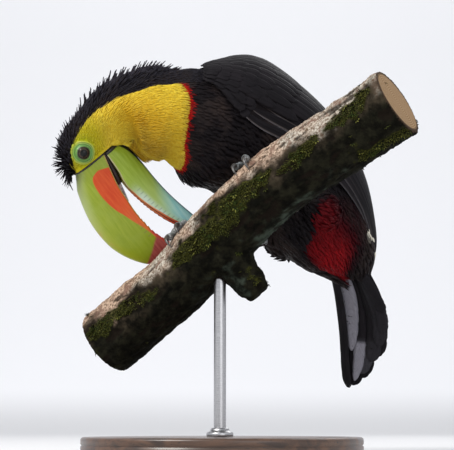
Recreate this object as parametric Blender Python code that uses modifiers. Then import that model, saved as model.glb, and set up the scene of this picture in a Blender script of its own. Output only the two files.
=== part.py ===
"""A keel-billed toucan, life-size, perched on a cut length of branch and held by a display stand.

The bird stands across the branch with its neck arched over and its bill reaching down and back
towards its right foot. Sizes below are in millimetres and degrees; MM turns them into metres. +Z is
up, the bird's left side faces -Y, and the origin is the centre of the underside of the stand's base.
"""

import math
from collections import namedtuple

import bmesh
import bpy
from mathutils import Matrix, Vector

MM = 0.001
GAP = 0.4  # clearance that neighbouring pieces keep

# The body is a loft through rings. A ring's turn is its heading seen from above (0 = towards -X,
# 90 = towards -Y), its pitch is how far that heading points up, and its roll lowers the left side.
# Half sizes reach the feather tips.
Ring = namedtuple("Ring", "centre turn pitch roll half_width back belly squareness")
BODY = (
    Ring((-107, 4, 241), 29, -129, 20, 16.5, 27, 26, 2.1),  # 0 bill base
    Ring((-109.5, 2.5, 250), 28, -110, 20, 19.5, 32, 29.5, 2.1),  # 1 brow
    Ring((-109, 1.5, 260), 26, -91, 19, 22, 31, 28.5, 2.1),  # 2 crown
    Ring((-102, 0, 270), 22, -67, 17, 25.5, 27.5, 24.5, 2.1),  # 3 hind crown
    Ring((-90.5, -1, 280), 16, -41, 12, 29.5, 29, 25.5, 2.1),  # 4 nape
    Ring((-77.5, -1, 282.5), 14, -16, 8, 33, 34.5, 33, 2.1),  # 5 upper neck
    Ring((-60, 1, 284), 15, -4, 4, 37, 41.5, 41, 2.1),  # 6 neck
    Ring((-42, 5, 284), 20, 6, 1, 41, 43.5, 41, 2.1),  # 7 lower neck
    Ring((-24.5, 12.5, 280.5), 27, 15, 0, 45, 54, 50, 2.2),  # 8 breast
    Ring((-6, 23, 275), 34, 27, 0, 48, 70, 57, 2.3),  # 9 shoulders
    Ring((23, 40, 264), 40, 37, 0, 50, 65, 56, 2.4),  # 10 upper back
    Ring((53.5, 57, 241.5), 40, 41, 0, 49, 60, 54, 2.4),  # 11 middle
    Ring((81, 72, 214.5), 40, 46, 0, 44, 51, 56, 2.3),  # 12 belly
    Ring((99.5, 82.5, 191), 42, 52, 0, 37, 40, 50, 2.2),  # 13 vent
    Ring((111.5, 87.5, 171), 47, 62, 0, 28, 27, 34, 2.1),  # 14 rump
    Ring((115.5, 88.5, 156), 54, 71, 0, 20, 12, 14, 2.0),  # 15 tail coverts
)
BELLY_SQUARENESS = 0.85  # how much the underside narrows, as a share of the back's squareness
HEAD_END, NECK_END, TRUNK_END = 3.5, 8.0, 15.0  # where along the rings the body is parted
PARTING = 0.05  # share of a ring step left open at each parting
AROUND = 24  # points round each body ring
RINGS_PER_STEP = 2

# Wings lie folded on the body from the wrist at the neck's side to the rump.
WING_START, WING_END = 7.5, 14.1
WING_UPPER_EDGE = (36, 13, 8, 8, 12, 26, 58)  # degrees down from the back, wrist to tip
WING_LOWER_EDGE = (60, 86, 94, 91, 86, 86, 84)
WING_LIFT, WING_THICKNESS = 1.2, 7.0

# The tail hangs, with its underside turned towards the viewer.
TAIL = (
    Ring((116, 90, 154.5), 56, 73, 0, 19, 6, 6, 2.0),
    Ring((121, 97, 139), 58, 72, 0, 23, 4.2, 4.2, 2.0),
    Ring((124.5, 104, 122), 60, 71, 0, 26, 3.0, 3.0, 2.0),
    Ring((125.5, 111, 101), 61, 70, 0, 25.5, 2.2, 2.2, 2.0),
    Ring((124, 118, 82), 62, 69, 0, 22, 1.8, 1.8, 2.2),
    Ring((121, 122.5, 68), 62, 68, 0, 15, 1.5, 1.5, 2.4),
    Ring((118.5, 125.5, 58), 62, 68, 0, 5, 1.0, 1.0, 2.4),
)
TAIL_ARCH = 0.14  # sag of the tail's edges as a share of its half width

# The bill has its own side view: distance along it from the gape, and height above the gape.
BILL_ORIGIN, BILL_AIM = (-102, 5, 251), (29, -133, 20)  # the gape, and the bill's turn, pitch and roll
UPPER_RIDGE = ((-1, 28), (4, 30.5), (13, 36.2), (26, 40.6), (40, 43.9), (54, 44.9), (68, 43.8), (80, 40.2),
               (91, 34.7), (100, 28), (109.5, 17.5), (115, 5.5), (116.5, -7))
UPPER_TOMIUM = ((-1, 0), (16.5, 4.2), (30, 7.1), (44, 8.3), (56, 9.1), (69, 8.2), (81, 6.5), (94, 2),
                (104, -2.8), (116.5, -8.5))
UPPER_HALF_WIDTH = ((-1, 14.5), (18, 13.5), (42, 12.5), (66, 11.3), (88, 9.2), (104, 6.8), (112, 4.2), (116.5, 1))
LOWER_TOMIUM = ((1, -1.4), (20, -0.6), (31, 1.2), (43, 0.8), (58, -1.2), (70, -4.2), (82, -8.2), (92, -13.5),
                (103, -20.7), (114, -29))
LOWER_EDGE = ((1, -14.5), (10, -20.4), (29, -22.2), (47, -22.6), (62, -23.8), (77, -26.2), (93, -29.3),
              (105, -30.7), (114, -30.7))
LOWER_HALF_WIDTH = ((1, 13), (20, 11.5), (45, 9.5), (70, 8), (90, 6), (105, 3.8), (114, 1))
BILL_RINGS = 18
TONGUE_FROM, TONGUE_TO = (6, 0.9), (56, 4.0)
TONGUE_HALF_WIDTH, TONGUE_HALF_THICKNESS = 3.2, 0.8

EYE_RADIUS, EYE_PLACE, EYE_SIDE = 7.0, (-11.5, 13.5), 15.0  # along and above the gape, and out sideways

# The perch is a length of branch that runs up towards the bird's left.
PERCH = ((-99.5, 51, 92), (-61, 28.5, 123.5), (-40, 16.5, 140), (-8.5, -4.5, 171), (21.5, -23, 198),
         (49, -41, 220.5), (92, -65, 246.5), (136.5, -90.5, 273))
PERCH_RADIUS, PERCH_ROUGHNESS = 28.0, 0.045
PERCH_AROUND, PERCH_STEP = 20, 15.0
STUB_FROM, STUB_TO = (-3, -8, 170), (31, -15, 130)  # a broken-off branch under the perch
STUB_RADII = (17, 22, 19, 15, 13, 9)

# Feet: distance of each palm along the perch, and angles round it (0 = top, 90 = the bird's front).
FOOT_ALONG = {"left": 192.0, "right": 128.0}
PALM_ANGLE, PALM_RADIUS = -38.0, 5.2
FRONT_REACH, REAR_REACH = 78.0, 70.0  # degrees that the toes wrap round, without the claws
CLAW_REACH = 25.0
TOE_RADIUS, CLAW_RADIUS = 3.5, 2.1
TOES = {  # which way each toe runs, its share of the reach, and its drift along the perch
    "front_inner": (1, 0.86, 0.1),
    "front_outer": (1, 1.0, 1.0),
    "rear_inner": (-1, 0.8, -0.2),
    "rear_outer": (-1, 1.0, 0.9),
}
TOE_SPREAD = 13.0
ANKLES = {"left": (72, 13, 211), "right": (38, 49, 181)}
HIPS = {"left": (94, 48, 204), "right": (70, 83, 190)}
TARSUS_RADIUS = 3.4
THIGH_RADIUS = {"left": 20.0, "right": 27.0}

BASE_RADIUS, BASE_THICKNESS, BASE_EDGE = 115.0, 14.0, 2.5
ROD_ALONG, ROD_RADIUS = 143.0, 5.0
ROD_IN_PERCH, ROD_IN_BASE = 16.0, 8.0
COLLAR_RADIUS, COLLAR_HEIGHT = 11.0, 7.0

COLOURS = {
    "plumage": ((0.012, 0.010, 0.012), 0.55, 0.0),
    "bib": ((0.62, 0.50, 0.03), 0.6, 0.0),
    "bill": ((0.24, 0.42, 0.08), 0.32, 0.0),
    "eye": ((0.02, 0.012, 0.01), 0.08, 0.0),
    "tongue": ((0.4, 0.38, 0.38), 0.5, 0.0),
    "foot": ((0.17, 0.27, 0.33), 0.5, 0.0),
    "claw": ((0.03, 0.03, 0.035), 0.3, 0.0),
    "bark": ((0.16, 0.14, 0.08), 0.9, 0.0),
    "base": ((0.05, 0.028, 0.016), 0.35, 0.0),
    "rod": ((0.35, 0.35, 0.36), 0.3, 1.0),
}


# ---- small helpers ---------------------------------------------------------------------------


def spline(values, at):
    """A smooth curve through the values, read at a whole or part index."""
    last = len(values) - 1
    at = min(max(at, 0.0), float(last))
    step = min(int(at), last - 1)
    part = at - step
    near = [values[min(max(step + offset, 0), last)] for offset in (-1, 0, 1, 2)]
    if isinstance(near[0], (tuple, Ring)):
        return tuple(spline_value([value[i] for value in near], part) for i in range(len(near[0])))
    return spline_value(near, part)


def spline_value(near, part):
    if isinstance(near[0], tuple):
        return tuple(spline_value([value[i] for value in near], part) for i in range(len(near[0])))
    before, start, end, after = near
    return start + 0.5 * part * (
        end - before + part * (2 * before - 5 * start + 4 * end - after + part * (3 * (start - end) + after - before))
    )


def profile(points, along):
    """The height of a side-view outline at a distance along it."""
    steps = [point[0] for point in points]
    index = max(i for i in range(len(steps) - 1) if i == 0 or steps[i] <= along)
    part = (along - steps[index]) / (steps[index + 1] - steps[index])
    return spline([point[1] for point in points], index + min(max(part, 0.0), 1.0))


def spread(start, end, count):
    return [start + (end - start) * i / (count - 1) for i in range(count)]


def axes(turn, pitch, roll):
    """Heading, left and up directions for a turn, a pitch and a roll."""
    turn, pitch, roll = math.radians(turn), math.radians(pitch), math.radians(roll)
    ahead = Vector((-math.cos(turn) * math.cos(pitch), -math.sin(turn) * math.cos(pitch), math.sin(pitch)))
    level = Vector((math.sin(turn), -math.cos(turn), 0))
    up = ahead.cross(level)
    left = level * math.cos(roll) + up * math.sin(roll)
    return ahead, left, ahead.cross(left)


def round_power(value, power):
    return math.copysign(abs(value) ** power, value)


# ---- meshes ----------------------------------------------------------------------------------

collection = None
cutters = None


def material(name):
    found = bpy.data.materials.get(name)
    if found:
        return found
    colour, roughness, metallic = COLOURS[name]
    made = bpy.data.materials.new(name)
    made.use_nodes = True
    made.diffuse_color = (*colour, 1)
    shader = made.node_tree.nodes["Principled BSDF"]
    shader.inputs["Base Color"].default_value = (*colour, 1)
    shader.inputs["Roughness"].default_value = roughness
    shader.inputs["Metallic"].default_value = metallic
    return made


def add_object(name, mesh, finish):
    made = bpy.data.objects.new(name, mesh)
    mesh.materials.append(material(finish))
    mesh.shade_smooth()
    mesh.set_sharp_from_angle(angle=math.radians(40))
    collection.objects.link(made)
    return made


def as_cutter(made):
    """Moves an object to the cutters, which aren't part of the model."""
    collection.objects.unlink(made)
    cutters.objects.link(made)
    made.hide_render = True
    made.display_type = "WIRE"
    return made


def loft(name, rings, finish):
    """A closed solid through rings of points in millimetres, with a flat cap at each end."""
    shape = bmesh.new()
    grid = [[shape.verts.new(Vector(point) * MM) for point in ring] for ring in rings]
    for ring, following in zip(grid, grid[1:]):
        for i in range(len(ring)):
            j = (i + 1) % len(ring)
            shape.faces.new((ring[i], ring[j], following[j], following[i]))
    shape.faces.new(grid[0][::-1])
    shape.faces.new(grid[-1])
    bmesh.ops.recalc_face_normals(shape, faces=shape.faces)
    mesh = bpy.data.meshes.new(name)
    shape.to_mesh(mesh)
    shape.free()
    return add_object(name, mesh, finish)


def tube(name, points, radii, finish, sides=7):
    """A loft of circles along points; a radius may be small at an end."""
    points = [Vector(point) for point in points]
    rings = []
    side = None
    for i, point in enumerate(points):
        along = (points[min(i + 1, len(points) - 1)] - points[max(i - 1, 0)]).normalized()
        side = along.orthogonal() if side is None else side - along * side.dot(along)
        side.normalize()
        other = along.cross(side)
        turns = [math.tau * k / sides for k in range(sides)]
        rings.append([point + (side * math.cos(a) + other * math.sin(a)) * radii[i] for a in turns])
    return loft(name, rings, finish)


def sphere(name, centre, radius, finish, segments=14):
    bpy.ops.mesh.primitive_uv_sphere_add(segments=segments, ring_count=segments // 2, radius=radius * MM)
    made = bpy.context.object
    mesh = made.data
    mesh.transform(Matrix.Translation(Vector(centre) * MM))
    mesh.materials.clear()
    bpy.data.objects.remove(made)
    mesh.name = name
    return add_object(name, mesh, finish)


def cylinder(name, centre, radius, height, finish, segments=32, edge=0.0):
    bpy.ops.mesh.primitive_cylinder_add(vertices=segments, radius=radius * MM, depth=height * MM)
    made = bpy.context.object
    mesh = made.data
    mesh.transform(Matrix.Translation(Vector(centre) * MM))
    bpy.data.objects.remove(made)
    mesh.name = name
    made = add_object(name, mesh, finish)
    if edge:
        bevel = made.modifiers.new("rounded rim", "BEVEL")
        bevel.width, bevel.segments, bevel.limit_method = edge * MM, 1, "ANGLE"
    return made


def boolean(target, tool, operation):
    modifier = target.modifiers.new(f"{operation.lower()} {tool.name}", "BOOLEAN")
    modifier.operation, modifier.object = operation, tool
    return target


# ---- the body --------------------------------------------------------------------------------


def body_point(rings, at, angle, lift=0.0, arch=0.0):
    """A point on a loft's surface: angle 0 is the back and 90 the left side."""
    centre, turn, pitch, roll, half_width, back, belly, squareness = spline(rings, at)
    _, left, up = axes(turn, pitch, roll)
    if math.cos(math.radians(angle)) < 0:
        squareness *= BELLY_SQUARENESS
    across = round_power(math.sin(math.radians(angle)), 2 / squareness)
    height = round_power(math.cos(math.radians(angle)), 2 / squareness)
    tall = back if height > 0 else belly
    point = Vector(centre) + left * across * (half_width + lift) + up * height * (tall + lift)
    return point - up * arch * half_width * across**2


def body_rings(rings, start, end, around=AROUND, arch=0.0, per_step=RINGS_PER_STEP):
    count = max(2, round((end - start) * per_step) + 1)
    return [
        [body_point(rings, at, 360 * k / around, arch=arch) for k in range(around)]
        for at in spread(start, end, count)
    ]


def build_body():
    parts = {
        "head": (0, HEAD_END - PARTING, "plumage"),
        "neck": (HEAD_END + PARTING, NECK_END - PARTING, "bib"),
        "trunk": (NECK_END + PARTING, TRUNK_END, "plumage"),
    }
    for name, (start, end, finish) in parts.items():
        loft(name, body_rings(BODY, start, end), finish)
    loft("tail", body_rings(TAIL, 0, len(TAIL) - 1, 20, TAIL_ARCH), "plumage")


def build_wing(side):
    """A folded wing: a blade that follows the body's surface, thickest along its middle."""
    sign = 1 if side == "left" else -1
    rings = []
    for step in spread(0, 1, 14):
        at = WING_START + (WING_END - WING_START) * step
        upper = spline(WING_UPPER_EDGE, step * (len(WING_UPPER_EDGE) - 1))
        lower = spline(WING_LOWER_EDGE, step * (len(WING_LOWER_EDGE) - 1))
        angles = spread(upper, lower, 9)
        ends = 0.35 + 0.65 * math.sin(math.pi * min(max(step, 0.04), 0.96)) ** 0.5
        outer, inner = [], []
        for share, angle in zip(spread(0, 1, 9), angles):
            thickness = 0.8 + (WING_THICKNESS - 0.8) * ends * (4 * share * (1 - share)) ** 0.6
            outer.append(body_point(BODY, at, sign * angle, WING_LIFT + thickness))
            inner.append(body_point(BODY, at, sign * angle, WING_LIFT))
        rings.append(outer + inner[::-1])
    loft(f"wing_{side}", rings, "plumage")


# ---- the bill and eyes -----------------------------------------------------------------------


def bill_point(along, across, height):
    ahead, left, up = axes(*BILL_AIM)
    return Vector(BILL_ORIGIN) + ahead * along + left * across + up * height


def bill_steps(start, end):
    """Distances along the bill, closer together towards the tip."""
    return [start + (end - start) * math.sin(math.pi / 2 * share) for share in spread(0, 1, BILL_RINGS)]


def upper_ring(along, grow=0.0):
    """Across the upper half: straight sides near the cutting edge, rounding over to the ridge."""
    edge, ridge = profile(UPPER_TOMIUM, along) - grow, profile(UPPER_RIDGE, along) + grow
    half = profile(UPPER_HALF_WIDTH, along) + grow
    side = [(1 - 0.1 * (1 - share) ** 2, share) for share in (0, 0.2, 0.42)]
    crown = [(math.cos(math.radians(a)), 0.42 + 0.58 * math.sin(math.radians(a))) for a in (22, 44, 66, 90)]
    right = [bill_point(along, -half * wide, edge + (ridge - edge) * high) for wide, high in side + crown]
    left = [bill_point(along, half * wide, edge + (ridge - edge) * high) for wide, high in (side + crown)[-2::-1]]
    return right + left + [bill_point(along, 0, edge + 0.06 * (ridge - edge))]


def lower_ring(along, grow=0.0):
    """Across the lower half: a trough's outside, with its flat top between the cutting edges."""
    edge, keel = profile(LOWER_TOMIUM, along) + grow, profile(LOWER_EDGE, along) - grow
    half = profile(LOWER_HALF_WIDTH, along) + grow
    shape = [(math.cos(math.radians(a)), math.sin(math.radians(a))) for a in (0, 18, 38, 60, 90)]
    right = [bill_point(along, -half * wide, edge + (keel - edge) * low) for wide, low in shape]
    left = [bill_point(along, half * wide, edge + (keel - edge) * low) for wide, low in shape[-2::-1]]
    return right + left + [bill_point(along, 0, edge + 0.1 * (keel - edge))]


def build_bill():
    upper_end, lower_end = UPPER_TOMIUM[-1][0], LOWER_TOMIUM[-1][0]
    loft("bill_upper", [upper_ring(along) for along in bill_steps(UPPER_TOMIUM[0][0], upper_end)], "bill")
    loft("bill_lower", [lower_ring(along) for along in bill_steps(LOWER_TOMIUM[0][0], lower_end)], "bill")
    rings = []
    for share in spread(0, 1, 10):
        along = TONGUE_FROM[0] + (TONGUE_TO[0] - TONGUE_FROM[0]) * share
        height = TONGUE_FROM[1] + (TONGUE_TO[1] - TONGUE_FROM[1]) * share
        half = TONGUE_HALF_WIDTH * (1 - 0.75 * share**2)
        turns = [math.tau * k / 10 for k in range(10)]
        rings.append(
            [bill_point(along, half * math.cos(a), height + TONGUE_HALF_THICKNESS * math.sin(a)) for a in turns]
        )
    loft("tongue", rings, "tongue")


def seat_ring(along, grow):
    """The outline of both halves of the bill together, without the cutting edges between them."""
    behind = axes(*BILL_AIM)[0] * min(along - 1, 0)
    lower = [point + behind for point in lower_ring(max(along, 1), grow)[:-1]]
    return upper_ring(along, grow)[1:-2] + lower[1:-1][::-1]


def seat_bill():
    """Cuts the bill's own shape, a little larger, from the feathers round its base."""
    grow = GAP + 0.1
    rings = [seat_ring(along, grow) for along in (-1, 8, 16, 24, 32, 42, 54)]
    behind = axes(*BILL_AIM)[0] * GAP
    rings[0] = [point - behind for point in rings[0]]
    seat = as_cutter(loft("bill seat", rings, "bill"))
    for name in ("head", "neck"):
        boolean(bpy.data.objects[name], seat, "DIFFERENCE")


def build_eyes():
    for side, sign in (("left", 1), ("right", -1)):
        centre = bill_point(EYE_PLACE[0], sign * EYE_SIDE, EYE_PLACE[1])
        sphere(f"eye_{side}", centre, EYE_RADIUS, "eye")
        socket = as_cutter(sphere(f"{side} eye socket", centre, EYE_RADIUS + GAP, "eye"))
        boolean(bpy.data.objects["head"], socket, "DIFFERENCE")


# ---- the perch, legs and stand ---------------------------------------------------------------


def perch_table():
    """Points along the perch's middle with their distance from its lower end."""
    table = [(0.0, Vector(PERCH[0]))]
    for at in spread(0, len(PERCH) - 1, 141)[1:]:
        point = Vector(spline(PERCH, at))
        table.append((table[-1][0] + (point - table[-1][1]).length, point))
    return table


PERCH_PATH = perch_table()
PERCH_LENGTH = PERCH_PATH[-1][0]


def perch_middle(along):
    for (start, point), (end, following) in zip(PERCH_PATH, PERCH_PATH[1:]):
        if along <= end:
            return point.lerp(following, (along - start) / (end - start))
    return PERCH_PATH[-1][1]


def perch_point(along, angle, height=0.0):
    """A point near the perch's bark: angle 0 is its top and 90 the bird's front side."""
    middle = perch_middle(along)
    ahead = (perch_middle(min(along + 4, PERCH_LENGTH)) - perch_middle(max(along - 4, 0))).normalized()
    top = (Vector((0, 0, 1)) - ahead * ahead.z).normalized()
    front = ahead.cross(top)
    turn = math.radians(angle)
    waves = math.sin(3 * turn + along / 31) + 0.7 * math.sin(2 * turn - along / 19 + 1) + math.sin(along / 23)
    radius = PERCH_RADIUS * (1 + PERCH_ROUGHNESS * 0.5 * waves)
    return middle + (top * math.cos(turn) + front * math.sin(turn)) * (radius + height)


def build_perch():
    count = round(PERCH_LENGTH / PERCH_STEP) + 1
    rings = [
        [perch_point(along, 360 * k / PERCH_AROUND) for k in range(PERCH_AROUND)]
        for along in spread(0, PERCH_LENGTH, count)
    ]
    perch = loft("perch", rings, "bark")
    points = [Vector(STUB_FROM).lerp(Vector(STUB_TO), share) for share in spread(0, 1, len(STUB_RADII))]
    stub = as_cutter(tube("stub", points, STUB_RADII, "bark", 14))
    boolean(perch, stub, "UNION")


def build_thigh(side):
    hip, ankle = Vector(HIPS[side]), Vector(ANKLES[side])
    along = (ankle - hip).normalized()
    start, end = hip - along * 6, ankle + along * 3
    shares = (0, 0.14, 0.3, 0.48, 0.66, 0.82, 0.93, 1)
    widths = (0.3, 0.75, 0.97, 1.0, 0.86, 0.62, 0.4, 0.24)
    points = [start.lerp(end, share) for share in shares]
    radii = [THIGH_RADIUS[side] * width for width in widths]
    tube(f"thigh_{side}", points, radii, "plumage", 16)
    room = as_cutter(tube(f"{side} thigh room", points, [radius + GAP + 0.2 for radius in radii], "plumage", 16))
    boolean(bpy.data.objects["trunk"], room, "DIFFERENCE")


def toe_point(side, name, reach, height):
    """A point along a toe: reach 0 is the palm and 1 the end of the toe, before its claw."""
    way, share, drift = TOES[name]
    outward = 1 if side == "left" else -1
    turn = way * (FRONT_REACH if way > 0 else REAR_REACH) * share * reach
    along = FOOT_ALONG[side] + outward * drift * TOE_SPREAD * min(reach, 1.0) + outward * way * 1.5
    return perch_point(along, PALM_ANGLE + turn, height)


def build_foot(side):
    palm_centre = perch_point(FOOT_ALONG[side], PALM_ANGLE, PALM_RADIUS + GAP)
    foot = sphere(f"foot_{side}", palm_centre, PALM_RADIUS, "foot", 12)
    for name, (way, _, _) in TOES.items():
        reaches = spread(0, 1, 7)
        pads = [1 + 0.1 * math.cos(reach * 3 * math.tau) - 0.22 * reach for reach in reaches]
        radii = [TOE_RADIUS * pad for pad in pads]
        heights = [radius + GAP for radius in radii]
        points = [toe_point(side, name, reach, height) for reach, height in zip(reaches, heights)]
        toe = as_cutter(tube(f"{side} {name} toe", points, radii, "foot"))
        boolean(foot, toe, "UNION")
        build_claw(side, name, heights[-1], radii[-1])
    build_tarsus(side, foot, palm_centre)


def build_claw(side, name, toe_height, toe_radius):
    """A curved horn that starts a little beyond the toe's end and digs towards the bark."""
    way, share, _ = TOES[name]
    whole = (FRONT_REACH if way > 0 else REAR_REACH) * share
    start = 1 + (GAP + 0.3) / (math.radians(whole) * PERCH_RADIUS)
    end = 1 + CLAW_REACH / whole
    points, radii = [], []
    for part in spread(0, 1, 6):
        reach = start + (end - start) * part
        rise = toe_height * (1 - part) + 0.5 + 2.2 * math.sin(math.pi * part)
        points.append(toe_point(side, name, reach, max(rise, 1.2)))
        radii.append(max(CLAW_RADIUS * (1 - part**1.5), 0.35))
    tube(f"claw_{side}_{name}", points, radii, "claw", 6)


def build_tarsus(side, foot, palm_centre):
    """The bare shank, which sits in a hole in the thigh's feathers."""
    ankle = Vector(ANKLES[side])
    shares = (0, 0.12, 0.3, 0.7, 0.88, 1)
    radii = [TARSUS_RADIUS * width for width in (0.9, 1.35, 1.0, 0.95, 1.15, 1.2)]
    points = [ankle.lerp(palm_centre, share) for share in shares]
    shank = as_cutter(tube(f"{side} shank", points, radii, "foot"))
    boolean(foot, shank, "UNION")
    points[0] = ankle + (ankle - palm_centre).normalized() * GAP
    room = as_cutter(tube(f"{side} shank room", points, [radius + GAP for radius in radii], "foot"))
    palm_room = as_cutter(sphere(f"{side} palm room", palm_centre, PALM_RADIUS + GAP, "foot", 12))
    boolean(bpy.data.objects[f"thigh_{side}"], room, "DIFFERENCE")
    for tool in (room, palm_room):
        boolean(bpy.data.objects["trunk"], tool, "DIFFERENCE")


def build_stand():
    foot = perch_middle(ROD_ALONG)
    rod_bottom = BASE_THICKNESS - ROD_IN_BASE
    rod_top = foot.z - PERCH_RADIUS + ROD_IN_PERCH
    middle = Vector((foot.x, foot.y, (rod_bottom + rod_top) / 2))
    cylinder("stand_rod", middle, ROD_RADIUS, rod_top - rod_bottom, "rod", 16)
    room = as_cutter(cylinder("rod room", middle, ROD_RADIUS + GAP, rod_top - rod_bottom + 2 * GAP, "rod", 16))
    base = cylinder("stand_base", (0, 0, BASE_THICKNESS / 2), BASE_RADIUS, BASE_THICKNESS, "base", 48, BASE_EDGE)
    boolean(base, room, "DIFFERENCE")
    boolean(bpy.data.objects["perch"], room, "DIFFERENCE")
    height = BASE_THICKNESS + GAP + COLLAR_HEIGHT / 2
    collar = cylinder("stand_collar", (foot.x, foot.y, height), COLLAR_RADIUS, COLLAR_HEIGHT, "rod", 20)
    boolean(collar, room, "DIFFERENCE")


def main():
    global collection, cutters
    for old in list(bpy.data.objects):
        bpy.data.objects.remove(old)
    collection = bpy.data.collections.new("toucan_on_stand")
    cutters = bpy.data.collections.new("cutters")
    for made in (collection, cutters):
        bpy.context.scene.collection.children.link(made)
    cutters.hide_render = True
    build_body()
    build_bill()
    seat_bill()
    build_eyes()
    build_perch()
    for side in ("left", "right"):
        build_wing(side)
        build_thigh(side)
        build_foot(side)
    build_stand()


main()
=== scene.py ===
# %% [markdown]
# # A keel-billed toucan on a mossy branch
# The model is built around a frame: plain solids that already hold the bird's size, pose and outline.
# This script gives them their looks: skin, feathers, bill, eyes, feet, bark, moss and a display stand.
# Sizes are written in millimetres and turned into metres where a mesh is made.

import math
from collections import namedtuple

import bmesh
import bpy
import numpy as np
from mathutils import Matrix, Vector, kdtree, noise
from mathutils.bvhtree import BVHTree


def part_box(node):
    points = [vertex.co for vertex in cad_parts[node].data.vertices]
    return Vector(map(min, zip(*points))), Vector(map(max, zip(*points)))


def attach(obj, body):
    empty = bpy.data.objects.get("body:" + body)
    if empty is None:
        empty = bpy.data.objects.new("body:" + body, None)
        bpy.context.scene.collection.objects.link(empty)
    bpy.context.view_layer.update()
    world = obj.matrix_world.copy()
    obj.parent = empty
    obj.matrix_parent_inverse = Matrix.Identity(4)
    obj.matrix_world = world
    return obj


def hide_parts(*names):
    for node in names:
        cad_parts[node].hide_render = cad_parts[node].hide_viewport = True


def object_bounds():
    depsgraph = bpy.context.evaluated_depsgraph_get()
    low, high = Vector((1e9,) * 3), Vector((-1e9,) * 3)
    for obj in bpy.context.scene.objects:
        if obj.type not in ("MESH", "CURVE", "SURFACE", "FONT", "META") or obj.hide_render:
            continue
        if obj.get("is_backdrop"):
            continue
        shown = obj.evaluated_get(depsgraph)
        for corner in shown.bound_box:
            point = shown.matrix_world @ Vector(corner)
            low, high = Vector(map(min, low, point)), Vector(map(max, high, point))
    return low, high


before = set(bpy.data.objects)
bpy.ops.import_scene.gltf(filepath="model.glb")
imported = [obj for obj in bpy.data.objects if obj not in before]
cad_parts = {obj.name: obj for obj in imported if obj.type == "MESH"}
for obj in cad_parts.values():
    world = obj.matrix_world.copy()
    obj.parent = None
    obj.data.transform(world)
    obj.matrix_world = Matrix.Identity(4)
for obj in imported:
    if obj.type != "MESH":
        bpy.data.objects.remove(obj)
cad_box = [list(corner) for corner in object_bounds()]
MM = 0.001
scene = bpy.context.scene
print("frame:", len(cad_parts), "nodes, box", cad_box)

# %% [markdown]
# ## Camera, floor and light
# The bird is seen from its left and a little from below, so the camera sits low and looks up by a few
# degrees. A pale floor curves up behind into a backdrop, as a studio's paper sweep does. The sky of the
# real scene is an overcast white, so the light is a wide soft key from the upper left, a weak
# fill from the front and a bright, even surround.

# %% Camera
LOOK_UP = math.radians(8)
CAMERA_DISTANCE = 1.18
AIM = Vector((0.004, 0.010, 0.190))
VIEW_WIDTH = 0.38136  # of the view at the aim, in metres
SENSOR = 36

sight = Vector((0, math.cos(LOOK_UP), math.sin(LOOK_UP)))
camera = bpy.data.objects.new("camera", bpy.data.cameras.new("camera"))
scene.collection.objects.link(camera)
camera.location = AIM - sight * CAMERA_DISTANCE
camera.rotation_euler = (math.pi / 2 + LOOK_UP, 0, 0)
camera.data.sensor_width = SENSOR
camera.data.lens = SENSOR * CAMERA_DISTANCE / VIEW_WIDTH
camera.data.clip_start = 0.01
scene.camera = camera
print(f"camera at {tuple(round(v, 3) for v in camera.location)}, lens {camera.data.lens:.0f} mm")


# %% Small helpers for meshes
def add_mesh(name, points, faces):
    """A smooth mesh object from points in metres and lists of corners."""
    mesh = bpy.data.meshes.new(name)
    mesh.from_pydata([tuple(point) for point in points], [], [tuple(face) for face in faces])
    mesh.validate()
    mesh.shade_smooth()
    made = bpy.data.objects.new(name, mesh)
    scene.collection.objects.link(made)
    return made


def grid_faces(rows, columns, start=0):
    """Faces of a tube of rows of points, each row a closed ring."""
    faces = []
    for i in range(rows - 1):
        a, b = start + i * columns, start + (i + 1) * columns
        faces += [(a + j, a + (j + 1) % columns, b + (j + 1) % columns, b + j) for j in range(columns)]
    return faces


def tube(rings):
    """Points and faces of a closed tube through rings of points, with a point in the middle of each end."""
    rings = np.asarray(rings, float)
    rows, columns = rings.shape[:2]
    points = np.concatenate([rings.reshape(-1, 3), rings[:1].mean(1), rings[-1:].mean(1)])
    top, first, last = (rows - 1) * columns, rows * columns, rows * columns + 1
    faces = grid_faces(rows, columns)
    faces += [(first, (j + 1) % columns, j) for j in range(columns)]
    faces += [(last, top + j, top + (j + 1) % columns) for j in range(columns)]
    return points * MM, faces


def face_outward(made):
    shape = bmesh.new()
    shape.from_mesh(made.data)
    bmesh.ops.recalc_face_normals(shape, faces=shape.faces)
    shape.to_mesh(made.data)
    shape.free()


def join_parts(name, parts):
    """One object from several closed parts, each a pair of points and faces."""
    points, faces, total = [], [], 0
    for part_points, part_faces in parts:
        faces += [tuple(k + total for k in face) for face in part_faces]
        points.append(part_points)
        total += len(part_points)
    made = add_mesh(name, np.concatenate(points), faces)
    face_outward(made)
    return made


def store(made, name, values, kind="FLOAT", domain="POINT"):
    """Keeps numbers on a mesh under a name, for materials and for planting."""
    attribute = made.data.attributes.get(name) or made.data.attributes.new(name, kind, domain)
    key = "value" if kind in ("FLOAT", "BOOLEAN") else "vector"
    attribute.data.foreach_set(key, np.asarray(values, bool if kind == "BOOLEAN" else np.float32).ravel())


def fetch(items, key, size, kind=np.float32):
    """Reads one property of all of a mesh's items as an array."""
    values = np.empty(len(items) * size, kind)
    items.foreach_get(key, values)
    return values.reshape(-1, size) if size > 1 else values


def points_of(made):
    """A mesh's points, in millimetres."""
    return fetch(made.data.vertices, "co", 3).astype(float) / MM


def move_points(made, spots):
    made.data.vertices.foreach_set("co", (spots * MM).ravel())
    made.data.update()


def nearest_in(cloud, points):
    """For each point, the index of the nearest point of a cloud."""
    finder = kdtree.KDTree(len(cloud))
    for i, spot in enumerate(cloud):
        finder.insert(spot, i)
    finder.balance()
    return np.array([finder.find(point)[1] for point in points])


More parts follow.
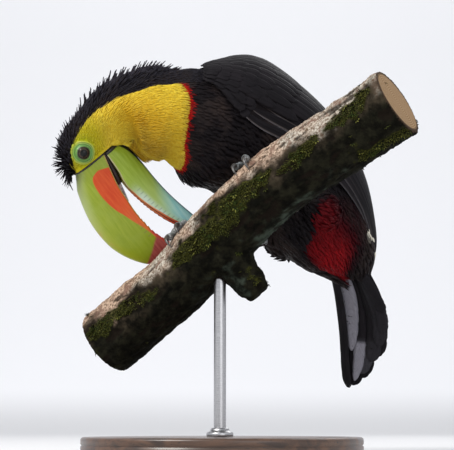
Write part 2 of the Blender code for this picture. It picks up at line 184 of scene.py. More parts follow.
def finish_piece(made, node_names, material=None):
    """Hangs a finished piece on the frame and hides the solids it stands for."""
    if material is not None:
        made.data.materials.clear()
        made.data.materials.append(material)
    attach(made, "root")
    if node_names:
        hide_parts(*node_names)
    print(f"{made.name}: {sum(len(p.vertices) - 2 for p in made.data.polygons)} triangles")


# %% Small helpers for numbers
def smoothstep(low, high, value):
    part = np.clip((np.asarray(value, float) - low) / (high - low), 0, 1)
    return part * part * (3 - 2 * part)


def bell(value, middle, reach):
    return np.exp(-(((value - middle) / reach) ** 2))


def unit(vectors):
    return vectors / np.maximum(np.linalg.norm(vectors, axis=-1, keepdims=True), 1e-9)


def full_turn(count):
    """Evenly spaced angles round a circle."""
    return np.linspace(0, 2 * math.pi, count, endpoint=False)


square_tube = tube([[(0, 0, z), (1, 0, z), (1, 1, z), (0, 1, z)] for z in (0, 1)])
print("a square tube has", len(square_tube[1]), "faces")

# %% [markdown]
# Materials are node trees. A little builder keeps each one short: it adds a node, sets its inputs by
# name, and returns the node's output as a wire. Wires add, subtract, multiply and divide like plain
# numbers, and each such step becomes a math node.


# %% A short way to write node trees
class Wire:
    """An output of a node that takes part in plain arithmetic."""

    def __init__(self, nodes, socket):
        self.nodes, self.socket = nodes, socket

    def __add__(self, other):
        return self.nodes.math("ADD", self, other)

    def __sub__(self, other):
        return self.nodes.math("SUBTRACT", self, other)

    def __rsub__(self, other):
        return self.nodes.math("SUBTRACT", other, self)

    def __mul__(self, other):
        return self.nodes.math("MULTIPLY", self, other)

    def __truediv__(self, other):
        return self.nodes.math("DIVIDE", self, other)

    def __abs__(self):
        return self.nodes.math("ABSOLUTE", self)

    __radd__, __rmul__ = __add__, __mul__


class Nodes:
    """Adds nodes to a tree. An input given as a wire is linked, and anything else is set."""

    def __init__(self, tree):
        self.tree = tree

    def put(self, socket, value):
        if isinstance(value, Wire):
            self.tree.links.new(value.socket, socket)
        elif socket.type == "RGBA" and len(value) == 3:
            socket.default_value = (*value, 1)
        else:
            socket.default_value = value

    def add(self, kind, inputs=None, output=0, **settings):
        """Adds a node and returns one of its outputs, or several if their names are given in a tuple."""
        node = self.tree.nodes.new(kind)
        for key, value in settings.items():
            setattr(node, key, value)
        for key, value in (inputs or {}).items():
            self.put(node.inputs[key], value)
        if isinstance(output, tuple):
            return [Wire(self, node.outputs[name]) for name in output]
        return Wire(self, node.outputs[output])

    def math(self, operation, a, b=0.0):
        return self.add("ShaderNodeMath", {0: a, 1: b}, operation=operation)

    def mix(self, share, a, b):
        return self.add("ShaderNodeMix", {0: share, 6: a, 7: b}, 2, data_type="RGBA")

    def between(self, value, low, high, start=0.0, end=1.0):
        """Maps a value from low..high to start..end, held at both ends."""
        inputs = dict(enumerate((value, low, high, start, end)))
        return self.add("ShaderNodeMapRange", inputs, interpolation_type="SMOOTHSTEP")

    def attribute(self, name):
        return self.add("ShaderNodeAttribute", output="Fac", attribute_name=name)

    def place(self):
        return self.add("ShaderNodeTexCoord", output="Object")

    def split(self, vector, axis):
        return self.add("ShaderNodeSeparateXYZ", {"Vector": vector}, axis)

    def vector(self, x, y, z):
        return self.add("ShaderNodeCombineXYZ", {"X": x, "Y": y, "Z": z})

    def noise(self, vector, scale, detail, roughness=0.55, distortion=0.0):
        inputs = {"Vector": vector, "Scale": scale, "Detail": detail}
        inputs.update({"Roughness": roughness, "Distortion": distortion})
        return self.add("ShaderNodeTexNoise", inputs, "Fac")

    def stretched(self, scale):
        return self.add("ShaderNodeMapping", {"Vector": self.place(), "Scale": scale})

    def bump(self, height, strength, distance):
        return self.add("ShaderNodeBump", {"Height": height, "Strength": strength, "Distance": distance})


class Finish(Nodes):
    """A Principled material, whose constants are set on the shader's own sockets."""

    def __init__(self, name, **constants):
        self.material = bpy.data.materials.new(name)
        self.material.use_nodes = True
        super().__init__(self.material.node_tree)
        self.set(**constants)

    def set(self, **inputs):
        shader = self.tree.nodes["Principled BSDF"]
        for key, value in inputs.items():
            self.put(shader.inputs[key.replace("_", " ")], value)
        return self.material


print("helpers ready")

# %% Floor, backdrop and lights
FLOOR_HALF, FLOOR_FRONT, FLOOR_DEPTH, WALL_HEIGHT, SWEEP_RADIUS = 4.0, -2.2, 3.2, 4.0, 1.2

turns = np.linspace(0.1, math.pi / 2, 12)
flat_end = FLOOR_DEPTH - SWEEP_RADIUS
sweep_profile = [(FLOOR_FRONT, 0.0), (flat_end, 0.0)]
sweep_profile += [(flat_end + SWEEP_RADIUS * math.sin(a), SWEEP_RADIUS * (1 - math.cos(a))) for a in turns]
sweep_profile += [(FLOOR_DEPTH, WALL_HEIGHT)]
sweep_points = [(x, y, z) for y, z in sweep_profile for x in (-FLOOR_HALF, FLOOR_HALF)]
sweep_faces = [(2 * i, 2 * i + 1, 2 * i + 3, 2 * i + 2) for i in range(len(sweep_profile) - 1)]
sweep = add_mesh("paper_sweep", sweep_points, sweep_faces)
n = Finish("studio paper", Roughness=0.9)
wall = n.between(n.split(n.place(), "Z"), 0.0, 0.12)
sweep.data.materials.append(n.set(Base_Color=n.mix(wall, (0.66, 0.66, 0.665), (0.92, 0.92, 0.93))))
sweep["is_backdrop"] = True

BIRD_MIDDLE = (0, 0, 0.22)
LIGHTS = {  # place, aim, size, power, colour
    "key from the upper left": ((-0.95, -0.75, 1.35), BIRD_MIDDLE, 0.7, 26, (1, 0.985, 0.96)),
    "fill from the front": ((0.7, -1.5, 0.5), BIRD_MIDDLE, 1.2, 5, (1, 1, 1)),
    "rim from behind": ((0.7, 1.1, 1.3), BIRD_MIDDLE, 0.9, 7, (1, 1, 1)),
    "light on the backdrop": ((0, 1.5, 3.2), (0, 3.2, 1.1), 1.6, 15.5, (1, 1, 1)),
}
for name, (place, aim, size, power, colour) in LIGHTS.items():
    light = bpy.data.lights.new(name, "AREA")
    light.shape, light.size, light.energy, light.color = "DISK", size, power, colour
    lamp = bpy.data.objects.new(name, light)
    scene.collection.objects.link(lamp)
    lamp.location = place
    lamp.rotation_euler = (Vector(aim) - Vector(place)).to_track_quat("-Z", "Y").to_euler()

scene.world = bpy.data.worlds.new("overcast sky")
scene.world.use_nodes = True
sky = scene.world.node_tree.nodes["Background"]
sky.inputs["Color"].default_value = (0.93, 0.95, 1.0, 1)
sky.inputs["Strength"].default_value = 0.76
scene.view_settings.view_transform = "Standard"
print("floor, backdrop and", len(LIGHTS), "lights")

# %% [markdown]
# ## The bird's shape as a table of rings
# A bird's body is a soft tube that swells and bends from bill to tail, so it is described by rings
# threaded on a curve. Each ring has a centre, a heading, and half sizes to its sides, back and belly.
# Any place on the plumage then has two numbers: how far along the rings it is, and an angle from the
# back (0 is the spine, 90 the bird's left side, 180 the belly). Every marking below is placed that way.

# %% Rings of the body and the tail
Ring = namedtuple("Ring", "centre turn pitch roll half_width back belly squareness")
BODY = (
    Ring((-107, 4, 241), 29, -129, 20, 16.5, 27, 26, 2.1),  # 0 bill base
    Ring((-109.5, 2.5, 250), 28, -110, 20, 19.5, 32, 29.5, 2.1),  # 1 brow
    Ring((-109, 1.5, 260), 26, -91, 19, 22, 31, 28.5, 2.1),  # 2 crown
    Ring((-102, 0, 270), 22, -67, 17, 25.5, 27.5, 24.5, 2.1),  # 3 hind crown
    Ring((-90.5, -1, 280), 16, -41, 12, 29.5, 29, 25.5, 2.1),  # 4 nape
    Ring((-77.5, -1, 282.5), 14, -16, 8, 33, 34.5, 33, 2.1),  # 5 upper neck
    Ring((-60, 1, 284), 15, -4, 4, 37, 41.5, 41, 2.1),  # 6 neck
    Ring((-42, 5, 284), 20, 6, 1, 41, 43.5, 41, 2.1),  # 7 lower neck
    Ring((-24.5, 12.5, 280.5), 27, 15, 0, 45, 54, 50, 2.2),  # 8 breast
    Ring((-6, 23, 275), 34, 27, 0, 48, 70, 57, 2.3),  # 9 shoulders
    Ring((23, 40, 264), 40, 37, 0, 50, 65, 56, 2.4),  # 10 upper back
    Ring((53.5, 57, 241.5), 40, 41, 0, 49, 60, 54, 2.4),  # 11 middle
    Ring((81, 72, 214.5), 40, 46, 0, 44, 51, 56, 2.3),  # 12 belly
    Ring((99.5, 82.5, 191), 42, 52, 0, 37, 40, 50, 2.2),  # 13 vent
    Ring((111.5, 87.5, 171), 47, 62, 0, 28, 27, 34, 2.1),  # 14 rump
    Ring((115.5, 88.5, 156), 54, 71, 0, 20, 12, 14, 2.0),  # 15 tail coverts
)
TAIL = (
    Ring((116, 90, 154.5), 56, 73, 0, 19, 6, 6, 2.0),
    Ring((121, 97, 139), 58, 72, 0, 23, 4.2, 4.2, 2.0),
    Ring((124.5, 104, 122), 60, 71, 0, 26, 3.0, 3.0, 2.0),
    Ring((125.5, 111, 101), 61, 70, 0, 25.5, 2.2, 2.2, 2.0),
    Ring((124, 118, 82), 62, 69, 0, 22, 1.8, 1.8, 2.2),
    Ring((121, 122.5, 68), 62, 68, 0, 15, 1.5, 1.5, 2.4),
    Ring((118.5, 125.5, 58), 62, 68, 0, 5, 1.0, 1.0, 2.4),
)
LAST_RING = len(BODY) - 1
BELLY_SQUARENESS = 0.85
BODY_TABLE, TAIL_TABLE = (np.array([[*r.centre, *r[1:]] for r in rings], float) for rings in (BODY, TAIL))
HALF_WIDTH, BACK, BELLY, SQUARENESS = 6, 7, 8, 9  # columns of the tables, after the centre and 3 angles
print(len(BODY), "body rings and", len(TAIL), "tail rings")


# %% Reading the rings anywhere
def spline(values, at):
    """A smooth curve through rows of values, read at whole or part indices."""
    values = np.asarray(values, float)
    at = np.clip(np.asarray(at, float), 0, len(values) - 1)
    step = np.minimum(at.astype(int), len(values) - 2)
    part = at - step
    if values.ndim > 1:
        part = part[..., None]
    a, b, c, d = (values[np.clip(step + offset, 0, len(values) - 1)] for offset in (-1, 0, 1, 2))
    return b + 0.5 * part * (c - a + part * (2 * a - 5 * b + 4 * c - d + part * (3 * (b - c) + d - a)))


def read_line(points, at):
    """A smooth line through (at, value) points, with uneven steps."""
    points = np.asarray(points, float)
    index = np.interp(at, points[:, 0], np.arange(len(points)))
    return spline(points[:, 1], index)


def axes(turn, pitch, roll):
    """Heading, left and up directions; each angle is a number or an array, in degrees."""
    turn, pitch, roll = (np.radians(np.asarray(v, float))[..., None] for v in (turn, pitch, roll))
    x, y, z = np.eye(3)
    ahead = -np.cos(turn) * np.cos(pitch) * x - np.sin(turn) * np.cos(pitch) * y + np.sin(pitch) * z
    level = np.sin(turn) * x - np.cos(turn) * y
    up = np.cross(ahead, level)
    left = level * np.cos(roll) + up * np.sin(roll)
    return ahead, left, np.cross(ahead, left)


def read_ring(table, at):
    """A table's row at a place between its rings, and the heading, left and up directions there."""
    row = spline(table, at)
    return row, *axes(row[..., 3], row[..., 4], row[..., 5])


def body_surface(at, angle, lift=0.0):
    """Points on the plumage's surface, raised by a lift, in millimetres."""
    at, angle, lift = np.broadcast_arrays(*(np.asarray(v, float) for v in (at, angle, lift)))
    row, _, left, up = read_ring(BODY_TABLE, at)
    sine, cosine = np.sin(np.radians(angle)), np.cos(np.radians(angle))
    squareness = row[..., SQUARENESS] * np.where(cosine < 0, BELLY_SQUARENESS, 1)
    across = np.sign(sine) * np.abs(sine) ** (2 / squareness)
    height = np.sign(cosine) * np.abs(cosine) ** (2 / squareness)
    tall = np.where(height > 0, row[..., BACK], row[..., BELLY])
    point = row[..., :3] + left * (across * (row[..., HALF_WIDTH] + lift))[..., None]
    return point + up * (height * (tall + lift))[..., None]


def body_frame(at, angle, lift=0.0):
    """Points with their outward normals and the direction that feathers lie in there."""
    at, angle = np.asarray(at), np.asarray(angle)
    along = body_surface(at + 0.03, angle, lift) - body_surface(at - 0.03, angle, lift)
    round_it = body_surface(at, angle + 1.5, lift) - body_surface(at, angle - 1.5, lift)
    normal = unit(np.cross(round_it, along))
    lie = -read_ring(BODY_TABLE, at)[1]
    lie = lie - normal * (lie * normal).sum(-1, keepdims=True)
    return body_surface(at, angle, lift), normal, unit(lie)


middle, middle_normal, _ = body_frame(10.0, 90.0)
print("left side of the back ring at", middle.round(0), "facing", middle_normal.round(2))

# %% [markdown]
# ## Where each marking lies
# The crown, nape and body are black; the bib from the face to the breast is yellow; a thin red band
# closes the bib. The rump is white and the feathers under the tail are red. Each edge is a line in the
# two body numbers, and the left and right sides share it, except under the tail, where the body is
# twisted. The skin keeps these as plain numbers, which both its own colour and the feathers' read.

# %% Edges of the markings
CROWN_EDGE = (  # angle of the edge at places along the body
    (0, 46), (0.4, 48), (0.85, 54), (1.3, 58), (1.65, 60), (1.95, 62), (2.3, 66), (2.7, 66), (3.1, 70),
    (3.6, 78), (4.2, 80), (5.1, 76), (5.8, 70), (6.35, 68), (6.75, 64), (7, 62), (15, 62),
)
BIB_END = (  # place of the bib's end at angles from the back
    (0, 6.5), (60, 6.75), (64, 6.85), (72, 7.05), (80, 7.15), (90, 7.25), (110, 7.25), (120, 7.3),
    (130, 7.35), (142, 7.45), (154, 7.7), (164, 7.85), (180, 8.0),
)
BAND_WIDTH = 0.17
ROOT_STEP = 0.27  # feathers root this far ahead of where their tips show
CRISSUM = (  # place, angle of the middle of the red under the tail, half its width
    (11.5, 106, 6), (11.7, 108, 18), (12.2, 118, 36), (12.5, 120, 40), (13, 124, 38), (13.9, 147, 30),
    (14.65, 172, 21), (15, 178, 18),
)
EYE_SPOT = (1.15, 74)
RUMP_EDGE, RUMP_CORNER, RUMP_CORNER_AT = 64, 21, 13.15  # the white shows most behind the wing, at the corner


def wobble(at, angle, step, seed):
    """Small smooth unevenness, so that no edge is a ruled line."""
    a = np.asarray(at) * 2.1 * step + seed
    b = np.radians(np.asarray(angle)) * 2.3 * step - seed
    wide = np.sin(a + 1.3 * np.sin(b)) + np.sin(1.7 * b - 0.8 * a + 2 * seed)
    return (wide + 0.6 * np.sin(2.9 * a + 2.3 * b)) / 2.6


def markings(at, angle):
    """How strongly each marking is present at places on the body, with the painted shade under the bill and
    under the tail.
    """
    at, angle = np.broadcast_arrays(np.asarray(at, float), np.asarray(angle, float))
    side = np.abs(angle)
    past_crown = side - (read_line(CROWN_EDGE, at) + 1.2 * wobble(at, angle, 5, 0.4))
    past_bib = at - (read_line(BIB_END, side) - ROOT_STEP + 0.025 * wobble(at, angle, 6, 1.7))
    band = smoothstep(-0.03, 0.03, past_bib) * smoothstep(0.03, -0.03, past_bib - BAND_WIDTH)
    centre, half = (read_line([(row[0], row[i]) for row in CRISSUM], at) for i in (1, 2))
    turned = ((angle - centre + 180) % 360 - 180) / np.maximum(half, 1)
    crissum = smoothstep(1.18, 0.8, np.abs(turned)) * smoothstep(11.45, 11.75, at)
    # painted light and shade under the tail: the red stays bright towards the belly's edge and the tail, and
    # fades dark towards the wing and the body
    under_tail_painted_light = smoothstep(-0.75, 0.35, turned) * (0.42 + 0.58 * smoothstep(11.8, 13.4, at))
    rump = smoothstep(12.6, 12.85, at) * smoothstep(14.25, 14.1, at)
    rump = rump * smoothstep(2, -2, side - (RUMP_EDGE + RUMP_CORNER * bell(at, RUMP_CORNER_AT, 0.36)))

    def glow(place, spread, middle, reach):
        return np.exp(-(((at - place) / spread) ** 2) - ((side - middle) / reach) ** 2)

    return {
        "yellow": smoothstep(-1.5, 1.5, past_crown) * smoothstep(0.03, -0.03, past_bib),
        "band": band * smoothstep(-4, 1, past_crown),
        "crissum": crissum * (0.12 + 0.88 * under_tail_painted_light),
        "white": rump * (1 - crissum),
        "face": glow(EYE_SPOT[0], 1.6, EYE_SPOT[1], 40),
        # painted shade: a brown darkening of the yellow under the bill, at the throat
        "throat": glow(5.2, 2.0, 162, 26),
        "golden": glow(5.0, 1.9, 118, 42),
    }


for label, spot in (("bib", (5, 100)), ("crown", (3, 10)), ("under the tail", (13, 130))):
    print(label, {key: round(float(value), 2) for key, value in markings(*spot).items()})

# %% [markdown]
# ## One skin under all the feathers
# A real bird has one continuous skin, and its feathers hide where neck, wing and thigh join. So the
# flesh solids of the frame are replaced by one mesh. It could be sculpted by hand; here the body loft,
# the folded wings and the thighs are made a little smaller, by the depth of the plumage, thrown
# together, and melted into one closed surface with a voxel remesh and some smoothing.

# %% The bill's own ruler and the thigh lines
BILL_ORIGIN, BILL_AIM = np.array((-102.0, 5, 251)), (29, -133, 20)
BILL_AXES = np.array(axes(*BILL_AIM)).reshape(3, 3)
EYE_ALONG, EYE_OUT, EYE_HEIGHT = -11.5, 15, 13.5  # the eye's middle, by the bill's ruler
SIDES = {"left": 1, "right": -1}
HIPS = {"left": np.array((94.0, 48, 204)), "right": np.array((70.0, 83, 190))}
ANKLES = {"left": np.array((72.0, 13, 211)), "right": np.array((38.0, 49, 181))}
THIGH_RADIUS = {"left": 20.0, "right": 27.0}
THIGH_PLUMAGE = {"left": 3, "right": 8}  # how deep the skin lies under the thigh's feathers
THIGH_SHARES = np.array((0, 0.14, 0.3, 0.48, 0.66, 0.82, 0.93, 1))
THIGH_WIDTHS = np.array((0.3, 0.75, 0.97, 1.0, 0.86, 0.62, 0.4, 0.24))
WING_START, WING_END = 7.5, 14.1
WING_UPPER_EDGE = (36, 13, 8, 8, 12, 26, 58)
WING_LOWER_EDGE = (60, 86, 94, 91, 86, 78, 72)
WING_LIFT, WING_THICKNESS, WING_THINNEST = 1.2, 7.0, 0.8
THROAT_LINE = ((-5, -13), (1, -17), (10, -24.0), (20, -27), (28, -27))


def bill_point(along, across, height):
    """A place by the bill's ruler: distance from the gape, out to the left, and above the gape."""
    return BILL_ORIGIN + np.stack(np.broadcast_arrays(along, across, height), -1) @ BILL_AXES


def to_bill(points):
    return (points - BILL_ORIGIN) @ BILL_AXES.T


def coat_depth(at, angle):
    """How far the skin lies under the feather tips, in millimetres."""
    marks, side = markings(at, angle), np.abs(angle)
    crown = smoothstep(4, -4, side - read_line(CROWN_EDGE, at)) * smoothstep(7.6, 6.8, at)
    notch = bell(at, 7.75, 0.5) * smoothstep(70, 30, side)
    breast = bell(at, 8.2, 0.8) * smoothstep(110, 150, side)
    depth = 2.8 + 3.2 * crown * smoothstep(-0.3, 1.5, at) - 1.5 * marks["yellow"] * (1 - crown)
    return depth - 0.6 * (marks["face"] * marks["yellow"]) + 5.0 * notch + 2.2 * breast


def ring_tube(points, radii, sides=16):
    """Circles of points round a line, turned so that they don't twist."""
    points = np.asarray(points, float)
    aim = unit(np.gradient(points, axis=0))
    side = unit(np.cross(aim[0], (0.3, 0.9, 0.2)))
    turns = full_turn(sides)[:, None]
    rings = []
    for point, ahead, radius in zip(points, aim, radii):
        side = unit(side - ahead * side.dot(ahead))
        other = np.cross(ahead, side)
        rings.append(point + (side * np.cos(turns) + other * np.sin(turns)) * radius)
    return np.array(rings)


def thigh_rings(side):
    hip, ankle = HIPS[side], ANKLES[side]
    along = unit(ankle - hip)
    start, end = hip - along * 6, ankle + along * 3
    radii = np.maximum(THIGH_RADIUS[side] * THIGH_WIDTHS - THIGH_PLUMAGE[side], 2.0)
    return ring_tube(start + (end - start) * THIGH_SHARES[:, None], radii)


def throat_rings():
    """The chin and throat, which lie against the lower edge of the bill."""
    shares, turns = np.linspace(0, 1, 14)[:, None], full_turn(24)[None, :]
    along = -5 + 33 * shares
    swell = np.minimum(1, 0.15 + 3.2 * shares)
    tall, half = (6.5 - 4.0 * shares**2) * swell, (11.0 - 3.0 * shares) * swell
    height = read_line(THROAT_LINE, along) + 1.2
    return bill_point(along + 0 * turns, half * np.sin(turns), height + tall * np.cos(turns))


print("bill base to eye:", (bill_point(EYE_ALONG, EYE_OUT, EYE_HEIGHT) - BILL_ORIGIN).round(1))


# %% Wing pads and the pieces of the skin
def wing_place(step, share, sign=1):
    """Body numbers of a place on the folded wing: along it, and across it from its upper edge."""
    upper, lower = (spline(edge, step * (len(edge) - 1)) for edge in (WING_UPPER_EDGE, WING_LOWER_EDGE))
    return WING_START + (WING_END - WING_START) * step, sign * (upper + (lower - upper) * share)


def wing_height(step, share):
    """The wing's thickness over the body at a place along it and across it."""
    ends = 0.35 + 0.65 * np.sin(math.pi * np.clip(step, 0.04, 0.96)) ** np.where(step < 0.5, 0.3, 0.5)
    ends = ends * (1 - 0.6 * smoothstep(0.45, 0.9, step))
    crowned = (WING_THICKNESS - WING_THINNEST) * ends * (4 * share * (1 - share)) ** 0.6
    return WING_THINNEST + crowned - 2.4 * smoothstep(0.55, 0.9, step)


def wing_rings(sign, inset=4.0, depth=6.0):
    """A pad under the flight feathers, sunk below them by the inset and into the body by the depth."""
    step, share = np.meshgrid(np.linspace(0.02, 0.98, 48), np.linspace(0.04, 0.96, 17), indexing="ij")
    at, angle = wing_place(step, share, sign)
    outer = body_surface(at, angle, WING_LIFT + wing_height(step, share) - inset)
    return np.concatenate([outer, body_surface(at, angle, -depth)[:, ::-1]], 1)


at, angle = np.meshgrid(np.arange(0.0, LAST_RING + 0.001, 0.1), np.arange(0, 360, 3.75), indexing="ij")
signed = np.where(angle > 180, angle - 360, angle)
pieces = [tube(body_surface(at, signed, -coat_depth(at, signed))), tube(throat_rings())]
for side, sign in SIDES.items():
    pieces += [tube(wing_rings(sign)), tube(thigh_rings(side))]
skin = join_parts("skin", pieces)
print("skin pieces:", len(pieces), "with", len(skin.data.vertices), "points")


# %% Melt the pieces together
def apply_modifier(made, kind, **settings):
    modifier = made.modifiers.new(kind.lower(), kind)
    for key, value in settings.items():
        setattr(modifier, key, value)
    graph = bpy.context.evaluated_depsgraph_get()
    mesh = bpy.data.meshes.new_from_object(made.evaluated_get(graph))
    made.modifiers.clear()
    old, made.data = made.data, mesh
    bpy.data.meshes.remove(old)
    mesh.name = made.name
    mesh.shade_smooth()


apply_modifier(skin, "REMESH", mode="VOXEL", voxel_size=1.6 * MM)
apply_modifier(skin, "SMOOTH", factor=0.5, iterations=6)
print("skin:", len(skin.data.polygons), "faces")

# %% [markdown]
# The melted skin no longer knows which ring it came from, so each of its points looks up the nearest
# place on the body table. In front of the bill's base the skin is pushed back to a plane, or down to the
# lower edge of the bill where that is nearer, which leaves the bill a seat.

# %% The bill's side view and widths
UPPER_RIDGE = (  # height at places along the bill
    (-1, 28), (4, 30.5), (13, 36.2), (26, 40.6), (40, 43.9), (54, 44.9), (68, 43.8), (80, 40.2),
    (91, 34.7), (100, 28), (109.5, 17.5), (115, 5.5), (116.5, -7),
)
UPPER_TOMIUM = (  # the cutting edge
    (-1, 0), (16.5, 4.2), (30, 7.1), (44, 8.3), (56, 9.1), (69, 8.2), (81, 6.5), (94, 2), (104, -2.8),
    (116.5, -8.5),
)
UPPER_HALF_WIDTH = (
    (-1, 14.5), (18, 13.5), (42, 12.5), (66, 11.3), (88, 9.2), (104, 6.8), (112, 4.2), (116.5, 1),
)
LOWER_TOMIUM = (
    (1, -1.4), (20, -0.6), (31, 1.2), (43, 0.8), (58, -1.2), (70, -4.2), (82, -8.2), (92, -13.5),
    (103, -20.7), (114, -29),
)
LOWER_EDGE = (
    (1, -14.5), (10, -20.4), (29, -22.2), (47, -22.6), (62, -23.8), (77, -26.2), (93, -29.3),
    (105, -30.7), (114, -30.7),
)
LOWER_HALF_WIDTH = ((1, 13), (20, 11.5), (45, 9.5), (70, 8), (90, 6), (105, 3.8), (114, 1))
BILL_SEAT = -0.9  # the skin stops this far from the gape, along the bill


def over_lower_edge(ruler):
    """How far places, by the bill's ruler, lie over the lower edge of the bill."""
    return ruler[:, 2] - read_line(LOWER_EDGE, np.clip(ruler[:, 0], 1, 114))


# %% Find each skin point's place on the body
near_at, near_angle = np.arange(0, LAST_RING + 0.001, 0.06), np.arange(-180, 180, 2.5)
near_at, near_angle = np.meshgrid(near_at, near_angle, indexing="ij")
near_point, near_normal, near_lie = (v.reshape(-1, 3) for v in body_frame(near_at, near_angle))

spots = points_of(skin)
ruler = to_bill(spots)
back, down = ruler[:, 0] - BILL_SEAT, over_lower_edge(ruler) + 0.2
over_edge = (back > 0) & (down > 0) & (ruler[:, 0] < 60)
goes_down = over_edge & (down < 1.5 * back)
ruler[over_edge & ~goes_down, 0] = BILL_SEAT
ruler[goes_down, 2] -= down[goes_down]
spots = BILL_ORIGIN + ruler @ BILL_AXES
move_points(skin, spots)
nearest = nearest_in(near_point, spots)
skin_at, skin_angle, lie = near_at.ravel()[nearest], near_angle.ravel()[nearest], near_lie[nearest]
skin_height = ((spots - near_point[nearest]) * near_normal[nearest]).sum(1)
side_angle = np.abs(skin_angle)
print("pushed back to the bill:", int(over_edge.sum()), "points,", int(goes_down.sum()), "of them down")


# %% Thighs, wings and the lie of the coat
def from_thigh(points, side):
    """Share along a thigh, and distance outside its skin."""
    hip, ankle = HIPS[side], ANKLES[side]
    share = (points - hip) @ (ankle - hip) / ((ankle - hip) @ (ankle - hip))
    away = np.linalg.norm(points - hip - np.clip(share, -0.1, 1.1)[:, None] * (ankle - hip), axis=1)
    widths = np.interp(share, (-0.1, 0, *THIGH_SHARES[1:]), (0.3, 0.5, *THIGH_WIDTHS[1:]))
    return share, away - THIGH_RADIUS[side] * widths


step = (skin_at - WING_START) / (WING_END - WING_START)
upper, lower = (wing_place(np.clip(step, 0, 1), share)[1] for share in (0, 1))
on_wing = (step > 0.01) & (step < 0.99) & (side_angle > upper) & (side_angle < lower) & (skin_height > -3.6)
on_thigh = np.zeros(len(spots), bool)
for side in SIDES:
    share, outside = from_thigh(spots, side)
    mine = (outside > -3 - THIGH_PLUMAGE[side]) & (outside < 3) & (share > 0)
    mine &= (skin_height > -1.6) & ~on_wing
    on_thigh |= mine
    lie[mine] = unit(ANKLES[side] - HIPS[side])


def smoothed(values, rounds):
    """Evens out values over the skin by averaging each point with its neighbours."""
    a, b = fetch(skin.data.edges, "vertices", 2, np.int32).T
    count = np.bincount(np.concatenate([a, b]), minlength=len(values))
    for _ in range(rounds):
        total = np.zeros_like(values)
        for i in range(values.shape[1]):
            total[:, i] = np.bincount(a, values[b, i], len(values))
            total[:, i] += np.bincount(b, values[a, i], len(values))
        values = (values + total / count[:, None]) / 2
    return values


lie = unit(smoothed(lie, 10))
ruler = to_bill(spots)
chin = smoothstep(-18, -10, ruler[:, 0]) * smoothstep(9, 4, ruler[:, 0])
chin = chin * smoothstep(-34, -28, ruler[:, 2]) * smoothstep(-7, -12, ruler[:, 2])
spots = spots + (smoothed(spots, 40) - spots) * chin[:, None]
move_points(skin, spots)
print("on wings:", int(on_wing.sum()), " on thighs:", int(on_thigh.sum()), " of", len(spots))

# %% [markdown]
# ## Which feather grows where
# Feathers differ over the body: stiff spiky ones on the crown and nape, short silky ones on the bib,
# very fine ones on the face, broad leaf-shaped ones on breast and belly, loose ragged ones under the
# tail. Each point of the skin gets the length, width and rise of its feathers, and a tick for the coat
# it belongs to. The wing pads get none, as the flight feathers cover them.

# %% Sizes and coats over the skin
CROWN_RISE = (  # degrees at places along the body: the forehead's feathers hang forwards over the bill
    (0, 176), (0.3, 156), (0.7, 112), (1.2, 62), (2, 30), (3, 21), (5, 21), (6, 16), (6.8, 8), (7.5, 6),
)
CROWN_LENGTH = (
    (0, 15), (0.3, 12.6), (0.6, 9.4), (1.2, 7.4), (2, 8.0), (3, 11), (4.6, 14.5), (5.6, 13), (6.4, 9),
    (7.5, 8),
)
CROWN_SIDE_RISE, CROWN_SIDE_LENGTH = 9, 6.5

marks = markings(skin_at, skin_angle)
crown_edge = read_line(CROWN_EDGE, skin_at)
ruler = to_bill(spots)
eyes = [bill_point(EYE_ALONG, sign * (EYE_OUT + 2), EYE_HEIGHT) for sign in (1, -1)]
eye_away = np.minimum(*(np.linalg.norm(spots - eye, axis=1) for eye in eyes))
bare = (ruler[:, 0] > BILL_SEAT - 1.2) & (over_lower_edge(ruler) > -0.5) & (ruler[:, 0] < 60)
bare |= (eye_away < 9.9) | (skin_at > LAST_RING - 0.03) | on_wing
yellow_feathers = marks["yellow"] > 0.5
coats = {"crown": ~bare & (side_angle < crown_edge - 1) & (skin_at < 7.4)}
coats["crest"] = coats["crown"] & (side_angle < crown_edge * 0.85) & (skin_at < 6.7)
free = ~bare & ~coats["crown"]
coats["face"] = free & (marks["face"] > 0.16) & yellow_feathers & (skin_at < 3)
coats["bib"] = free & ~coats["face"] & yellow_feathers
coats["band"] = free & ~coats["bib"] & (marks["band"] > 0.5)
coats["vent"] = ~bare & ~on_thigh & (skin_at > 11.4) & ((marks["crissum"] > 0.02) | (marks["white"] > 0.3))
coats["body"] = free & ~coats["face"] & ~coats["bib"] & ~coats["band"] & ~coats["vent"]

even = np.ones(len(spots))
length, width, rise = 13.0 * even, 5.2 * even, 4.5 * even
middle_line = smoothstep(crown_edge, crown_edge * 0.4, side_angle)
brow = middle_line + (1 - middle_line) * 0.42 * smoothstep(1.4, 0.4, skin_at)
crown_rise, crown_length = (
    at_side + (read_line(line, skin_at) - at_side) * brow
    for line, at_side in ((CROWN_RISE, CROWN_SIDE_RISE), (CROWN_LENGTH, CROWN_SIDE_LENGTH))
)
crown_width = 1.8 + 0.6 * brow + 2.0 * brow * smoothstep(2.2, 0.8, skin_at)
for where, values in (
    (coats["crown"], (crown_length, crown_width, crown_rise)),
    (coats["bib"], (5.6, 1.3, 4.6)),
    (coats["band"], (4.4, 1.15, 4)),
    (coats["face"] | (bare & (skin_at < 4)), (2.9 + 0.8 * smoothstep(8, 20, eye_away), 1.0, 9)),
    (coats["vent"], (9.5, 2.6, 8)),
    (on_thigh & coats["body"], (11.0, 3.6, 5)),
):
    for target, value in zip((length, width, rise), values):
        target[where] = (value * even)[where]
hanging = smoothstep(12.7, 13.9, skin_at) * smoothstep(-178, -168, skin_angle)
hanging = hanging * smoothstep(-100, -125, skin_angle) * (1 - 0.8 * marks["crissum"])
length, rise = length + 9 * hanging, rise + 13 * hanging
small = coats["body"] & (skin_at < 10)
length[small] = (6.5 + 6.5 * smoothstep(6.9, 10, skin_at))[small]
width[small] = (2.2 + 3.0 * smoothstep(6.9, 9.5, skin_at))[small]

